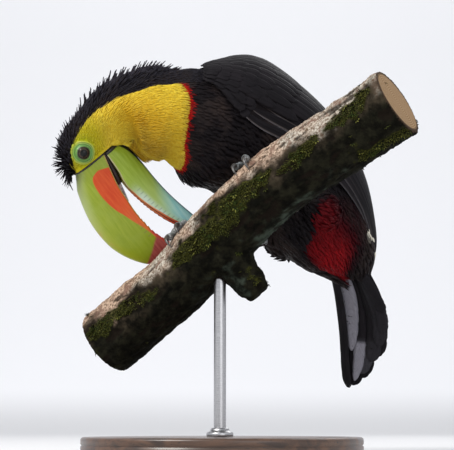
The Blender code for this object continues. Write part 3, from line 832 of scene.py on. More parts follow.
sizes = {"feather length": length * MM, "feather width": width * MM, "feather rise": np.radians(rise)}
for name, value in {**marks, **sizes}.items():
    store(skin, name, value)
for name, where in coats.items():
    store(skin, "coat " + name, where, "BOOLEAN")
store(skin, "lie", lie, "FLOAT_VECTOR")
print({name: int(where.sum()) for name, where in coats.items()})


# %% Unwrap the skin
def unwrap(made):
    """Lays the mesh out flat on a map, by its own shape, and keeps the map for what grows on it."""
    made.data.uv_layers.new(name="OFBake")
    bpy.context.view_layer.objects.active = made
    made.select_set(True)
    bpy.ops.object.mode_set(mode="EDIT")
    bpy.ops.mesh.select_all(action="SELECT")
    bpy.ops.uv.smart_project(angle_limit=math.radians(66), island_margin=0.003)
    bpy.ops.object.mode_set(mode="OBJECT")
    made.select_set(False)
    flat = fetch(made.data.uv_layers["OFBake"].uv, "vector", 2)
    store(made, "root place", flat, "FLOAT2", "CORNER")
    return flat


skin_map = unwrap(skin)
print("map covers", skin_map.min(0).round(2), "to", skin_map.max(0).round(2))

# %% [markdown]
# ## Shapes of single feathers
# A contour feather is a thin curved leaf; a crown feather is a bundle of stiff barbs that part at the
# tip; a bib feather is a soft narrow tuft. Each shape is drawn once, one unit long and one unit wide,
# with its root at the origin and its outer face up, and keeps a little closed thickness so that it
# prints and exports as a solid.


# %% Build the feather shapes
def leaf_points(start, turn, long, half, hollow, drop, rows, thick):
    """Points of a thin closed leaf in rows of four, and how far along the leaf each one is."""
    points, along = [], []
    sine, cosine = math.sin(turn), math.cos(turn)
    for share in np.linspace(0, 1, rows):
        wide = half * (0.3 + 0.7 * smoothstep(0, 0.45, share)) * (1 - smoothstep(0.55, 1, share) ** 1.3)
        x, z = long * share, hollow * math.sin(math.pi * share) - drop * share**2
        edge, top, bottom = -thick * 0.2, thick * (1 - 0.6 * share), -thick * 0.5
        for across, up in ((-wide, edge), (0, top), (wide, edge), (0, bottom)):
            y = across + start
            points.append((x * cosine - y * sine, x * sine + y * cosine, z + up))
            along.append(share)
    return points, along


def feather_shape(name, leaves):
    """A feather of one or more leaves, kept out of the scene as a pattern for planting."""
    points, faces, along = [], [], []
    for leaf in leaves:
        first, rows = len(points), leaf[6]
        leaf_spots, leaf_along = leaf_points(*leaf)
        points, along = points + leaf_spots, along + leaf_along
        last = first + 4 * (rows - 1)
        faces += [face[::-1] for face in grid_faces(rows, 4, first)]
        faces += [(first, first + 1, first + 2, first + 3), (last + 3, last + 2, last + 1, last)]
    made = add_mesh(name, points, faces)
    scene.collection.objects.unlink(made)
    face_outward(made)
    store(made, "along", along)
    place = np.array([(x, 0.5 + y) for x, y, _ in points], np.float32)
    store(made, "feather place", np.clip(place, 0, 1), "FLOAT2")
    return made


FEATHERS = {  # each leaf: start across, turn, length, half width, hollow, drop, rows, thickness
    "contour feather": ((0, 0, 1, 0.5, 0.05, 0.06, 6, 0.035),),
    "crown feather": (
        (-0.12, -0.10, 0.86, 0.20, 0.03, 0.02, 4, 0.035),
        (0.0, 0.01, 1.0, 0.21, 0.05, 0.06, 4, 0.035),
        (0.12, 0.11, 0.8, 0.20, 0.02, 0.0, 4, 0.035),
    ),
    "crest tuft": (
        (-0.3, 0.24, 1.02, 0.34, -0.02, -0.14, 4, 0.06),
        (0.0, 0.0, 1.2, 0.42, -0.02, -0.18, 5, 0.06),
        (0.3, -0.24, 1.08, 0.34, -0.02, -0.16, 4, 0.06),
    ),
    "bib feather": ((0, 0, 1, 0.42, 0.05, 0.06, 4, 0.05),),
    "vent feather": (
        (-0.15, -0.12, 0.8, 0.3, 0.06, 0.06, 4, 0.03),
        (0.02, 0.0, 1.0, 0.34, 0.08, 0.12, 5, 0.03),
        (0.16, 0.13, 0.72, 0.3, 0.05, 0.05, 4, 0.03),
    ),
    "moss shoot": (
        (-0.1, -0.7, 0.8, 0.17, 0.05, -0.08, 3, 0.08),
        (0, 0.0, 1.0, 0.17, 0.12, -0.08, 3, 0.08),
        (0.1, 0.7, 0.8, 0.17, 0.08, -0.08, 3, 0.08),
    ),
}
feather_shapes = {name: feather_shape(name, leaves) for name, leaves in FEATHERS.items()}
print({name: len(made.data.polygons) for name, made in feather_shapes.items()}, "faces each")

# %% [markdown]
# ## Planting the coats with Geometry Nodes
# One node tree plants every coat: it scatters roots over the ticked part of the skin, never closer
# than a set distance, turns a feather so that its face follows the skin and its length follows the
# lie of the coat, lifts its tip, and makes each one a little different. Instances keep this light
# until the end, when they are realized, because an exported model can't hold instances.

# %% The coat tree
COAT_INPUTS = {
    "Skin": "Geometry", "Feather": "Object", "Coat": "String", "Distance": "Float", "Unevenness": "Float",
    "Seed": "Int", "Finish": "Material",
}
plant_feathers = bpy.data.node_groups.new("plant feathers", "GeometryNodeTree")
coat_socket = plant_feathers.interface.new_socket
coat_sockets = {
    name: coat_socket(name, in_out="INPUT", socket_type="NodeSocket" + kind).identifier
    for name, kind in COAT_INPUTS.items()
}
coat_socket("Coat", in_out="OUTPUT", socket_type="NodeSocketGeometry")


def grow_coat_tree(n):
    ground, feather, coat, distance, uneven, seed, finish = n.add("NodeGroupInput", output=tuple(COAT_INPUTS))

    def named(name, kind="FLOAT"):
        return n.add("GeometryNodeInputNamedAttribute", {"Name": name}, "Attribute", data_type=kind)

    def random(low, high, extra):
        return n.add("FunctionNodeRandomValue", {2: low, 3: high, "Seed": seed + extra}, 1, data_type="FLOAT")

    density = n.math("DIVIDE", 1.6, n.math("POWER", distance, 2.0))
    picked = {"Mesh": ground, "Selection": named(coat, "BOOLEAN"), "Seed": seed}
    picked.update({"Distance Min": distance, "Density Max": density})
    roots, normal = n.add(
        "GeometryNodeDistributePointsOnFaces", picked, ("Points", "Normal"), distribute_method="POISSON"
    )
    ways = {"Primary Axis": normal, "Secondary Axis": named("lie", "FLOAT_VECTOR")}
    aim = n.add("FunctionNodeAxesToRotation", ways, primary_axis="Z", secondary_axis="X")
    lift = named("feather rise") * (1.0 + uneven * random(-0.6, 0.6, 1))
    tilt = n.vector(uneven * random(-0.3, 0.3, 2), lift * -1.0, uneven * random(-0.35, 0.35, 3))
    twist = {"Rotation": aim, "Rotate By": n.add("FunctionNodeEulerToRotation", {0: tilt})}
    turned = n.add("FunctionNodeRotateRotation", twist, rotation_space="LOCAL")
    grown = named("feather length") * (1.0 + uneven * random(-0.4, 0.25, 4))
    stand = {"Points": roots, "Instance": n.add("GeometryNodeObjectInfo", {"Object": feather}, "Geometry")}
    stand.update({"Rotation": turned, "Scale": n.vector(grown, named("feather width"), grown)})
    planted = n.add("GeometryNodeInstanceOnPoints", stand)
    shade = {"Geometry": planted, "Name": "shade", "Value": random(0.0, 1.0, 5)}
    shaded = n.add("GeometryNodeStoreNamedAttribute", shade, data_type="FLOAT", domain="INSTANCE")
    realized = n.add("GeometryNodeRealizeInstances", {"Geometry": shaded})
    done = n.add("GeometryNodeSetMaterial", {"Geometry": realized, "Material": finish})
    n.put(n.tree.nodes.new("NodeGroupOutput").inputs[0], done)


grow_coat_tree(Nodes(plant_feathers))
print("inputs:", list(coat_sockets))

# %% [markdown]
# ## One plumage colour for skin and feathers
# Feather colour changes from place to place, not from feather to feather, so skin and coats read the
# same marking numbers through one node group. Each feather took its numbers from its root, which gives
# the edges of the bib and the band their small feathery steps. Black feathers are never pure black:
# they have a brown cast at the base, and a cool painted sheen is laid on their tips.

# %% The plumage group
plumage_colour = bpy.data.node_groups.new("plumage colour", "ShaderNodeTree")
for title, way, kind in (
    ("Tip sheen", "INPUT", "Float"),
    ("Streaks", "INPUT", "Float"),
    ("Colour", "OUTPUT", "Color"),
    ("Softness", "OUTPUT", "Float"),
):
    plumage_colour.interface.new_socket(title, in_out=way, socket_type="NodeSocket" + kind)


def grow_plumage_tree(n):
    sheen, streaks = n.add("NodeGroupInput", output=("Tip sheen", "Streaks"))
    place = n.place()
    patches, fine = n.noise(place, 38.0, 3.0), n.noise(place, 420.0, 3.0)
    shade, tip = n.attribute("shade"), n.attribute("along")
    around, crissum = n.attribute("face"), n.attribute("crissum")
    black = n.mix(n.between(patches, 0.42, 0.66) * streaks, (0.0082, 0.0065, 0.0074), (0.032, 0.0225, 0.020))
    # painted sheen: the tips of black feathers are painted a cool grey, most strongly on the crown
    black = n.mix(n.between(tip, 0.55, 1.0) * sheen, black, (0.044, 0.042, 0.055))
    black = n.mix(shade * 0.35, black, (0.004, 0.0035, 0.005))
    yellow = n.mix(n.between(fine, 0.35, 0.7), (0.66, 0.47, 0.032), (0.77, 0.61, 0.062))
    golden = n.attribute("golden") * n.between(patches, 0.2, 0.75, 0.65, 1.1)
    yellow = n.mix(golden, yellow, (0.47, 0.245, 0.006))
    # painted shade: the yellow is painted dark brown at the throat, under the bill
    yellow = n.mix(n.attribute("throat") * 0.78, yellow, (0.26, 0.125, 0.006))
    yellow = n.mix(n.between(around, 0.14, 0.60), yellow, (0.45, 0.38, 0.012))
    yellow = n.mix(n.between(around, 0.60, 0.98), yellow, (0.29, 0.33, 0.011))
    yellow = n.mix(n.between(tip, 0.5, 1.0) * 0.25, yellow, (0.82, 0.69, 0.17))
    yellow = n.mix(shade * 0.16, yellow, (0.30, 0.18, 0.01))
    red = n.mix(n.between(fine, 0.3, 0.7), (0.26, 0.004, 0.004), (0.42, 0.012, 0.008))
    # the red under the tail, painted dark where its mask is low: painted shade towards the wing and the body
    deep = n.mix(n.between(crissum, 0.15, 0.95), (0.016, 0.002, 0.004), (0.25, 0.006, 0.009))
    deep = n.mix(shade * 0.5, deep, (0.06, 0.004, 0.006))
    colour = n.mix(n.attribute("yellow"), black, yellow)
    colour = n.mix(n.attribute("band"), colour, red)
    colour = n.mix(n.between(crissum, 0.02, 0.3), colour, deep)
    colour = n.mix(n.attribute("white"), colour, (0.78, 0.74, 0.62))
    result = n.tree.nodes.new("NodeGroupOutput").inputs
    n.put(result["Colour"], colour)
    n.put(result["Softness"], n.between(n.attribute("yellow"), 0.0, 1.0, 0.52, 0.72))


def plumage_material(name, tip_sheen, streaks):
    n = Finish(name, Specular_IOR_Level=0.05)
    inputs = {"Tip sheen": tip_sheen, "Streaks": streaks}
    colour, softness = n.add("ShaderNodeGroup", inputs, ("Colour", "Softness"), node_tree=plumage_colour)
    barbs = n.noise(n.stretched((1, 1, 1)), 900.0, 2.0)
    return n.set(Base_Color=colour, Roughness=softness, Normal=n.bump(barbs, 0.25, 0.0003))


grow_plumage_tree(Nodes(plumage_colour))
plumage = plumage_material("plumage", 0.18, 0.8)
crown_plumage = plumage_material("crown plumage", 0.95, 0.4)
print("plumage group and 2 materials")

# %% Plant the coats
FEATHER_NUMBERS = {*marks, "along", "shade", "position"}


def lay_map(coat, patch=0.003):
    """Gives each feather a small patch of the map, at its root's place on the unwrapped skin."""
    mesh = coat.data
    corners = fetch(mesh.loops, "vertex_index", 1, np.int32)
    root, spot = (fetch(mesh.attributes[name].data, "vector", 2) for name in ("root place", "feather place"))
    for name in [a.name for a in mesh.attributes if a.domain in ("POINT", "CORNER")]:
        if name not in FEATHER_NUMBERS and not name.startswith("."):
            mesh.attributes.remove(mesh.attributes[name])
    layer = mesh.uv_layers.new(name="OFBake")
    layer.uv.foreach_set("vector", (root[corners] + (spot[corners] - 0.5) * patch).astype(np.float32).ravel())


def plant(name, ground, feather, distance, seed, unevenness, slot, material):
    """Grows a coat on a ground and hangs it on the frame as a plain mesh."""
    modifier = ground.modifiers.new("coat", "NODES")
    modifier.node_group = plant_feathers
    shape = feather_shapes[feather]
    values = (shape, "coat " + name, distance * MM, unevenness, seed, material)
    for key, value in zip(list(COAT_INPUTS)[1:], values):
        modifier[coat_sockets[key]] = value
    graph = bpy.context.evaluated_depsgraph_get()
    mesh = bpy.data.meshes.new_from_object(ground.evaluated_get(graph))
    ground.modifiers.clear()
    mesh.name = "coat_" + name
    coat = bpy.data.objects.new("coat_" + name, mesh)
    scene.collection.objects.link(coat)
    lay_map(coat)
    mesh.shade_smooth()
    finish_piece(coat, [], material)


COAT_PLAN = {  # feather, distance between roots, seed, unevenness, slot, material
    "crown": ("crown feather", 1.45, 3, 0.26, "plumage", crown_plumage),
    "crest": ("crest tuft", 3.3, 9, 0.55, "plumage", crown_plumage),
    "bib": ("bib feather", 1.0, 4, 0.45, "bib", plumage),
    "band": ("bib feather", 0.8, 8, 0.4, "bib", plumage),
    "face": ("bib feather", 0.9, 5, 0.7, "bib", plumage),
    "body": ("contour feather", 2.9, 6, 0.45, "plumage", plumage),
    "vent": ("vent feather", 2.1, 7, 0.6, "plumage", plumage),
}
for name, plan in COAT_PLAN.items():
    plant(name, skin, *plan)
FLESH = ("head", "neck", "trunk", "wing_left", "wing_right", "thigh_left", "thigh_right")
finish_piece(skin, FLESH, plumage)

# %% [markdown]
# ## The bill
# A toucan's bill is a light horn shell over bony foam, so it is smooth, slightly glossy, and its
# colours lie in the horn. Each half is lofted finely from its side-view lines. The cutting edges are
# cut into small teeth towards the tip, as the real ones are. Every point keeps how far along and how
# high it is in millimetres, and the material draws the colour patches from these two numbers.


# %% Cross-sections of the bill
def teeth(along, start, end, depth, pitch=4.6):
    """Saw-like notches along a cutting edge."""
    wave = (along / pitch + 0.35 * np.sin(along / 9.0)) % 1.0
    return depth * wave**1.5 * smoothstep(start, start + 14, along) * smoothstep(end, end - 4, along)


def loop_round(half, wide, height, inner_wide, inner_height):
    """Both sides of a section from its left half: round the outside, then back along the inside."""
    sides = (half * wide, half * inner_wide)
    across = np.concatenate([-sides[0], sides[0][-2::-1], sides[1], -sides[1][-2::-1]])
    return across, np.concatenate([height, height[-2::-1], inner_height, inner_height[-2::-1]])


INNER_WIDTHS = np.array([0.86, 0.6, 0.0])[:, None]


def upper_section(along):
    edge, ridge = read_line(UPPER_TOMIUM, along), read_line(UPPER_RIDGE, along)
    low = edge + teeth(along, 52, 112, 0.9)
    share = np.linspace(0, 0.42, 9)[:, None]
    turn = np.radians(np.linspace(8, 90, 14))[:, None]
    wide = np.concatenate([1 - 0.1 * (1 - share) ** 2 + 0 * along, np.cos(turn) ** 0.92 + 0 * along])
    high = np.concatenate([share + 0 * along, 0.42 + 0.58 * np.sin(turn) + 0 * along])
    inner_height = low + np.array([0.02, 0.12, 0.16])[:, None] * (ridge - low)
    half = read_line(UPPER_HALF_WIDTH, along)
    return loop_round(half, wide, low + (ridge - low) * high, INNER_WIDTHS * 0.9, inner_height)


def lower_section(along):
    edge, keel = read_line(LOWER_TOMIUM, along), read_line(LOWER_EDGE, along)
    low = edge - teeth(along, 40, 110, 0.7, 4.2)
    turn = np.radians(np.linspace(0, 90, 18))[:, None]
    height = low + (keel - low) * np.sin(turn)
    inner_height = low + np.array([0.03, 0.2, 0.3])[:, None] * (keel - low)
    return loop_round(read_line(LOWER_HALF_WIDTH, along), np.cos(turn), height, INNER_WIDTHS, inner_height)


def bill_half(name, section, start, end, node, material):
    along = start + (end - start) * np.sin(np.linspace(0, math.pi / 2, 170))
    across, up = section(along)
    made = join_parts(name, [tube(bill_point(along[None, :], across, up).transpose(1, 0, 2))])
    ruler = to_bill(points_of(made))
    store(made, "bill along", ruler[:, 0])
    store(made, "bill height", ruler[:, 2])
    finish_piece(made, [node], material)


print("teeth at 80 mm along:", round(float(teeth(np.array(80.0), 52, 112, 0.9)), 2), "mm deep")

# %% [markdown]
# The horn's colours are drawn by lines in the bill's own side view. A float curve turns the distance
# along the bill into the height of a boundary, and comparing a point's height with it gives a mask
# with a soft or crisp edge. A long orange patch lies above the cutting edge of the upper half, the tip
# is dark red, and the lower half runs from green through pale aqua to blue with a red-orange edge.

# %% Horn material
ORANGE_TOP = (
    (0, 12), (8, 13.5), (9.5, 18.5), (12, 21.3), (16, 22.9), (23, 23.8), (32, 23.6), (43, 21.9),
    (53, 18.3), (63, 15.2), (71, 12.2), (78, 10.2), (86, 8.6), (96, 5), (116, -6),
)
RIM_BLACK = (0.008, 0.007, 0.006)


def boundary(n, along, points):
    """The height of a line drawn through (along, height) points, as nodes."""
    height = n.add("ShaderNodeFloatCurve", {"Value": along / 120.0})
    mapping = height.socket.node.mapping
    for index, (x, y) in enumerate(points):
        spot = (x / 120, (y + 50) / 100)
        if index < 2:
            mapping.curves[0].points[index].location = spot
        else:
            mapping.curves[0].points.new(*spot)
    mapping.update()
    return height * 100.0 - 50.0


def horn(name):
    n = Finish(name, Coat_Weight=0.08, Coat_Roughness=0.2, Specular_IOR_Level=0.28)
    along, height = n.attribute("bill along"), n.attribute("bill height")
    place = n.place()
    drift = (n.noise(place, 60.0, 3.0) - 0.5) * 3.0
    streak = n.noise(n.vector(along * 0.05, height * 0.45, 0.0), 1.0, 5.0, 0.6)
    cloud = n.noise(place, 85.0, 3.0)
    growth = n.noise(n.vector(along * 0.8, height * 0.08, 0.0), 1.0, 3.0)
    relief = n.bump(growth * 0.5 + streak * 0.5, 0.12, 0.0005)
    n.set(Roughness=n.between(cloud, 0.3, 0.7, 0.30, 0.42), Normal=relief)
    return n, along, height, drift, streak, cloud


def upper_horn():
    n, along, height, drift, streak, cloud = horn("upper horn")
    from_ridge = boundary(n, along, UPPER_RIDGE) - height
    from_edge = height - boundary(n, along, UPPER_TOMIUM)
    green = n.mix(n.between(streak, 0.25, 0.75), (0.215, 0.290, 0.010), (0.295, 0.355, 0.030))
    green = n.mix(n.between(cloud, 0.45, 0.7) * 0.4, green, (0.29, 0.36, 0.055))
    # painted reflection: the horn is painted paler along its ridge, standing in for the sky's reflection
    # there
    pale = n.mix(n.between(along, 20.0, 75.0), (0.36, 0.42, 0.16), (0.38, 0.41, 0.022))
    green = n.mix(n.between(from_ridge, 10.0, 0.3, 0.0, 0.85), green, pale)
    green = n.mix(n.between(along, 55.0, 90.0, 0.0, 0.55), green, (0.23, 0.30, 0.006))
    warm = n.between(cloud, 0.48, 0.62) * (n.between(from_ridge, 5.0, 1.5) * n.between(along, 36.0, 50.0))
    green = n.mix(warm * 0.35, green, (0.46, 0.27, 0.06))
    top = boundary(n, along, ORANGE_TOP) + drift * 0.35
    base_round = (13.0 - height) * 0.42 + 8.0
    patch = n.between(top - height, -0.5, 0.7) * n.between(along, 7.4, 9.2)
    patch = patch * n.between(along - base_round, -0.4, 0.6) * n.between(from_edge, 0.25, 0.95)
    orange = n.mix(n.between(streak, 0.3, 0.7), (0.56, 0.046, 0.004), (0.64, 0.088, 0.012))
    orange = n.mix(n.between(along, 40.0, 80.0, 0.0, 0.6), orange, (0.60, 0.19, 0.045))
    colour = n.mix(patch, green, orange)
    colour = n.mix(n.between(from_edge, 0.9, 0.2) * n.between(along, 78.0, 60.0), colour, (0.55, 0.42, 0.16))
    tip_line = (height - 8.9) * 0.70 + 84.5
    red = n.mix(n.between(streak, 0.3, 0.7), (0.30, 0.045, 0.040), (0.46, 0.11, 0.09))
    colour = n.mix(n.between(along - (tip_line + drift), -1.6, 1.8), colour, red)
    edge_red = n.between(from_edge, 3.2, 1.6) * n.between(along, 74.0, 80.0)
    colour = n.mix(edge_red, colour, (0.52, 0.055, 0.035))
    ticks = n.between(n.math("SINE", along * 1.36), 0.55, 0.95) * n.between(abs(from_edge - 5.4), 1.9, 0.8)
    ticks = ticks * (n.between(along, 60.0, 70.0) * n.between(along, 84.0, 80.0))
    colour = n.mix(ticks * 0.5, colour, (0.20, 0.16, 0.06))
    return n.set(Base_Color=n.mix(n.between(along, 1.6, 0.8), colour, RIM_BLACK))


def lower_horn():
    n, along, height, drift, streak, cloud = horn("lower horn")
    below = boundary(n, along, ((0, -1.4), *LOWER_TOMIUM[1:])) - height
    above = height - boundary(n, along, ((0, -13.9), *LOWER_EDGE[1:]))
    green = n.mix(n.between(streak, 0.25, 0.75), (0.225, 0.325, 0.016), (0.31, 0.42, 0.050))
    green = n.mix(n.between(along, 25.0, 62.0, 0.0, 0.65), green, (0.37, 0.50, 0.155))
    blue = n.mix(n.between(streak, 0.3, 0.7), (0.29, 0.64, 0.64), (0.45, 0.75, 0.72))
    colour = n.mix(n.between(along - above * 1.7 + drift, 36.0, 74.0), green, blue)
    aqua = n.mix(n.between(cloud, 0.4, 0.65), (0.43, 0.60, 0.36), (0.56, 0.68, 0.60))
    colour = n.mix(n.between(below, 10.0, 4.0) * n.between(along, 33.0, 54.0) * 0.85, colour, aqua)
    ticks = n.between(n.math("SINE", along * 1.497), 0.5, 0.95) * n.between(abs(below - 5.6), 2.4, 1.0)
    ticks = ticks * (n.between(along, 36.0, 44.0) * n.between(along, 92.0, 86.0))
    colour = n.mix(ticks * 0.4, colour, (0.10, 0.15, 0.13))
    colour = n.mix(n.between(below, 1.1, 0.4) * n.between(along, 44.0, 34.0), colour, (0.52, 0.47, 0.25))
    strip_width = n.between(along, 36.0, 85.0, 0.9, 4.3)
    orange = n.mix(n.between(along, 55.0, 95.0), (0.66, 0.19, 0.05), (0.42, 0.035, 0.02))
    colour = n.mix(n.between(below - strip_width, 0.5, -0.3) * n.between(along, 36.0, 44.0), colour, orange)
    dark_line = n.between(abs(below - strip_width * 0.55), 0.55, 0.2)
    colour = n.mix(dark_line * n.between(along, 50.0, 62.0), colour, (0.05, 0.012, 0.010))
    colour = n.mix(n.between(below, 0.55, 0.1) * n.between(along, 38.0, 48.0), colour, (0.045, 0.02, 0.03))
    edge_line = n.mix(n.between(along, 12.0, 42.0), (0.010, 0.010, 0.012), (0.030, 0.085, 0.13))
    colour = n.mix(n.between(above - n.between(along, 8.0, 34.0, 3.6, 1.5), 0.0, -1.0), colour, edge_line)
    return n.set(Base_Color=n.mix(n.between(along, 3.7, 2.9), colour, RIM_BLACK))


bill_half("bill_upper_shell", upper_section, -1.0, 116.5, "bill_upper", upper_horn())
bill_half("bill_lower_shell", lower_section, 1.0, 114.0, "bill_lower", lower_horn())

# %% [markdown]
# A narrow raised black rim seals the horn to the skin, and the corner of the mouth is dark. The tongue
# is a long flat lamella whose edges fray into short bristles that point forwards.


# %% Rim, mouth and tongue
def dark_skin(name, colour, roughness):
    n = Finish(name, Coat_Weight=0.15)
    spots_over = n.noise(n.place(), 260.0, 4.0)
    lighter = tuple(2.2 * c + 0.004 for c in colour)
    return n.set(
        Base_Color=n.mix(n.between(spots_over, 0.35, 0.7), colour, lighter),
        Roughness=n.between(spots_over, 0.3, 0.7, roughness - 0.08, roughness + 0.08),
        Normal=n.bump(spots_over, 0.5, 0.0004),
    )


def rim_tube(section, along, radius, count, grow=0.2):
    """A tube round a section of the bill, thinner towards its two ends."""
    across, up = (values[:count, 0] for values in section(np.array([along])))
    middle = (up.max() + up.min()) / 2
    scale = 1 + grow / max(np.abs(across).max(), 1)
    path = bill_point(np.full(count, along), across * scale, middle + (up - middle) * scale)
    from_end = np.minimum(np.arange(count), np.arange(count)[::-1])
    return tube(ring_tube(path, radius * np.minimum(1, 0.55 + from_end / 6), 10))


rim_skin = dark_skin("rim skin", (0.008, 0.007, 0.007), 0.42)
rims = [rim_tube(upper_section, 0.2, 1.15, 45), rim_tube(lower_section, 1.6, 1.6, 35)]
finish_piece(join_parts("bill_rim", rims), [], rim_skin)

shares = np.linspace(0, 1, 20)
along = -1 + 31 * shares
top, bottom = read_line(UPPER_TOMIUM, along), read_line(LOWER_TOMIUM, np.maximum(along, 1))
half = read_line(UPPER_HALF_WIDTH, along) * 0.9 - 1.1 - 5.5 * shares**2
turns = full_turn(24)[:, None]
depth = (top - bottom) / 2 + 0.9 - 1.1 * shares
across = half * np.sign(np.cos(turns)) * np.abs(np.cos(turns)) ** 0.45
rings = bill_point(along + 0 * across, across, (top + bottom) / 2 + depth * np.sin(turns))
mouth = join_parts("mouth_corner", [tube(rings.transpose(1, 0, 2))])
finish_piece(mouth, [], dark_skin("mouth lining", (0.012, 0.005, 0.004), 0.5))

shares = np.linspace(0, 1, 90)
along = 6 + 41 * shares
height = read_line(((6, 0.9), (20, 1.5), (27, 3.5), (33, 5.0), (38, 6.0), (47, 7.5)), along)
fringe = np.where(np.arange(90) % 3 == 0, 0.45, 0) * smoothstep(0.3, 0.5, shares)
half = 3.2 * (1 - 0.72 * shares**2.2) * np.minimum(1, 8 * (1.02 - shares)) ** 0.5 - fringe
turns = full_turn(12)[:, None]
up = height + (2.0 - 1.5 * shares**3) * np.sin(turns) - 0.25 * np.abs(np.cos(turns))
rings = bill_point(along + 0 * turns, half * np.cos(turns), up)
tongue = join_parts("tongue_lamella", [tube(rings.transpose(1, 0, 2))])
finish_piece(tongue, ["tongue"], dark_skin("tongue skin", (0.36, 0.34, 0.36), 0.5))

# %% [markdown]
# ## Eyes and lids
# The eye is a dark glossy ball: a brown iris, a black pupil, and a clear cornea that bulges over them.
# Round it the bare skin lies in rings of fine folds, green near the lid and yellower outwards. The
# lids are made as a disc of rings laid on the head, raised over the ball near the middle.

# %% Eye material and balls
EYE_AXIS = BILL_AXES[1]


def eye_material():
    n = Finish("eye", Coat_Weight=0.35, Coat_Roughness=0.03, Roughness=0.35, Specular_IOR_Level=0.08)
    away = n.attribute("from pupil")
    rays = n.noise(n.place(), 900.0, 3.0)
    iris = n.mix(n.between(rays, 0.3, 0.7), (0.022, 0.013, 0.008), (0.060, 0.040, 0.026))
    iris = n.mix(n.between(away, 3.6, 4.9), iris, (0.012, 0.008, 0.006))
    return n.set(Base_Color=n.mix(n.between(away, 2.8, 3.1), (0.002, 0.003, 0.003), iris))


def eye_ball(side, sign, material):
    centre, axis = bill_point(EYE_ALONG, sign * EYE_OUT, EYE_HEIGHT), EYE_AXIS * sign
    first = unit(np.cross(axis, (0, 0.1, 1)))
    turns = full_turn(40)[:, None]
    equator = first * np.cos(turns) + np.cross(axis, first) * np.sin(turns)
    rings = []
    for polar in np.radians(np.linspace(2, 178, 34)):
        radius = 7.0 + 0.35 * bell(math.degrees(polar), 0, 30)  # the cornea bulges
        rings.append(centre + axis * radius * math.cos(polar) + equator * radius * math.sin(polar))
    made = join_parts("eyeball_" + side, [tube(rings)])
    offset = points_of(made) - centre
    ahead = offset @ axis
    away = np.linalg.norm(offset - ahead[:, None] * axis, axis=1)
    store(made, "from pupil", np.where(ahead > 0, away, 7))
    finish_piece(made, ["eye_" + side], material)


eye_finish = eye_material()
for side, sign in SIDES.items():
    eye_ball(side, sign, eye_finish)

# %% Lids and their folds
skin_corners = [tuple(p.vertices) for p in skin.data.polygons]
skin_shape = BVHTree.FromPolygons([tuple(v.co) for v in skin.data.vertices], skin_corners)


def skin_across(along, height, sign):
    """How far out from the bill's middle plane the skin is, at a place by the bill's ruler."""
    start = Vector(bill_point(along, sign * 60, height) * MM)
    hit = skin_shape.ray_cast(start, Vector(-EYE_AXIS * sign))[0]
    return 12.0 if hit is None else abs(to_bill(np.array(hit) / MM)[1])


def lid_material():
    name = "bare skin round the eye"
    n = Finish(name, Coat_Weight=0.1, Subsurface_Weight=0.08, Subsurface_Scale=0.002)
    away, crest = n.attribute("from eye"), n.attribute("fold")
    grain = n.noise(n.place(), 700.0, 3.0)
    colour = n.mix(n.between(away, 6.8, 9.6), (0.085, 0.215, 0.030), (0.31, 0.335, 0.016))
    # painted highlight on the crests of the folds, and painted shade in the creases between them
    colour = n.mix(n.between(crest, 0.35, 1.0) * 0.22, colour, (0.30, 0.46, 0.16))
    colour = n.mix(n.between(crest, -0.2, -1.0) * 0.65, colour, (0.030, 0.080, 0.014))
    colour = n.mix(n.between(away, 5.6, 5.1), colour, (0.045, 0.05, 0.02))
    roughness = n.between(grain, 0.3, 0.7, 0.42, 0.6)
    return n.set(Base_Color=colour, Roughness=roughness, Normal=n.bump(grain, 0.5, 0.0004))


def lids(side, sign, material):
    """A disc of rings round the eye: its outer face, and an under face a little below."""
    r, turn = np.meshgrid(np.linspace(4.75, 10.4, 46), full_turn(84), indexing="ij")
    oval = 1 + 0.05 * np.cos(2 * turn)
    along = np.minimum(EYE_ALONG + r * oval * np.cos(turn), BILL_SEAT - 0.6)
    height = EYE_HEIGHT + r * np.sin(turn) * (2 - oval)
    base = np.vectorize(skin_across)(along, height, sign)
    true_r = np.hypot(along - EYE_ALONG, height - EYE_HEIGHT)
    ball = EYE_OUT + np.sqrt(np.maximum(7.15**2 - true_r**2, 0)) + 0.3
    wave = np.cos(2 * math.pi * (r - 6.1) / (1.55 + 0.14 * np.sin(2 * turn + 1)))
    wave *= 0.75 + 0.25 * np.sin(3 * turn + r)
    cover = base + 0.9 * smoothstep(10.4, 9.0, r) - 0.5 * smoothstep(9.7, 10.4, r)
    share = smoothstep(9.0, 5.4, r)
    fold = 0.22 * wave * smoothstep(10.2, 8.2, r) * smoothstep(4.8, 5.6, r)
    out = np.maximum(ball, cover) * share + cover * (1 - share) + fold
    top, under = (bill_point(along, sign * (out - depth), height) for depth in (0, np.where(r < 6, 0.7, 1.6)))
    loop = np.concatenate([top, under[::-1]])
    rows, columns = loop.shape[:2]
    faces = [tuple(k % (rows * columns) for k in face) for face in grid_faces(rows + 1, columns)]
    made = join_parts("lids_" + side, [(loop.reshape(-1, 3) * MM, faces)])
    # the folds' crests and creases, kept for their painted highlight and painted shade
    crest = np.where(r > 5.2, wave * smoothstep(10.0, 8.6, r), 0)
    for name, values in (("from eye", r), ("fold", crest)):
        store(made, name, np.concatenate([values, values[::-1]]))
    finish_piece(made, [], material)


lid_finish = lid_material()
for side, sign in SIDES.items():
    lids(side, sign, lid_finish)

# %% [markdown]
# ## Wing and tail feathers
# Flight feathers are long vanes on a stiff shaft. On a folded wing they lie like roof tiles: small
# coverts near the wrist overlap larger ones, and those overlap the roots of the flight feathers, with
# each feather's lower edge over its neighbour. Every vane here is a closed strip laid along a line on
# the wing's surface, a little domed, with a raised shaft and a rounded end.

# %% One vane
VANE_ACROSS = np.array((-1, -0.72, -0.4, -0.1, 0, 0.1, 0.4, 0.72, 1, 0.5, 0, -0.5))
VANE_UNDER = np.arange(12) >= 9
VANE_EDGE = np.abs(VANE_ACROSS) == 1


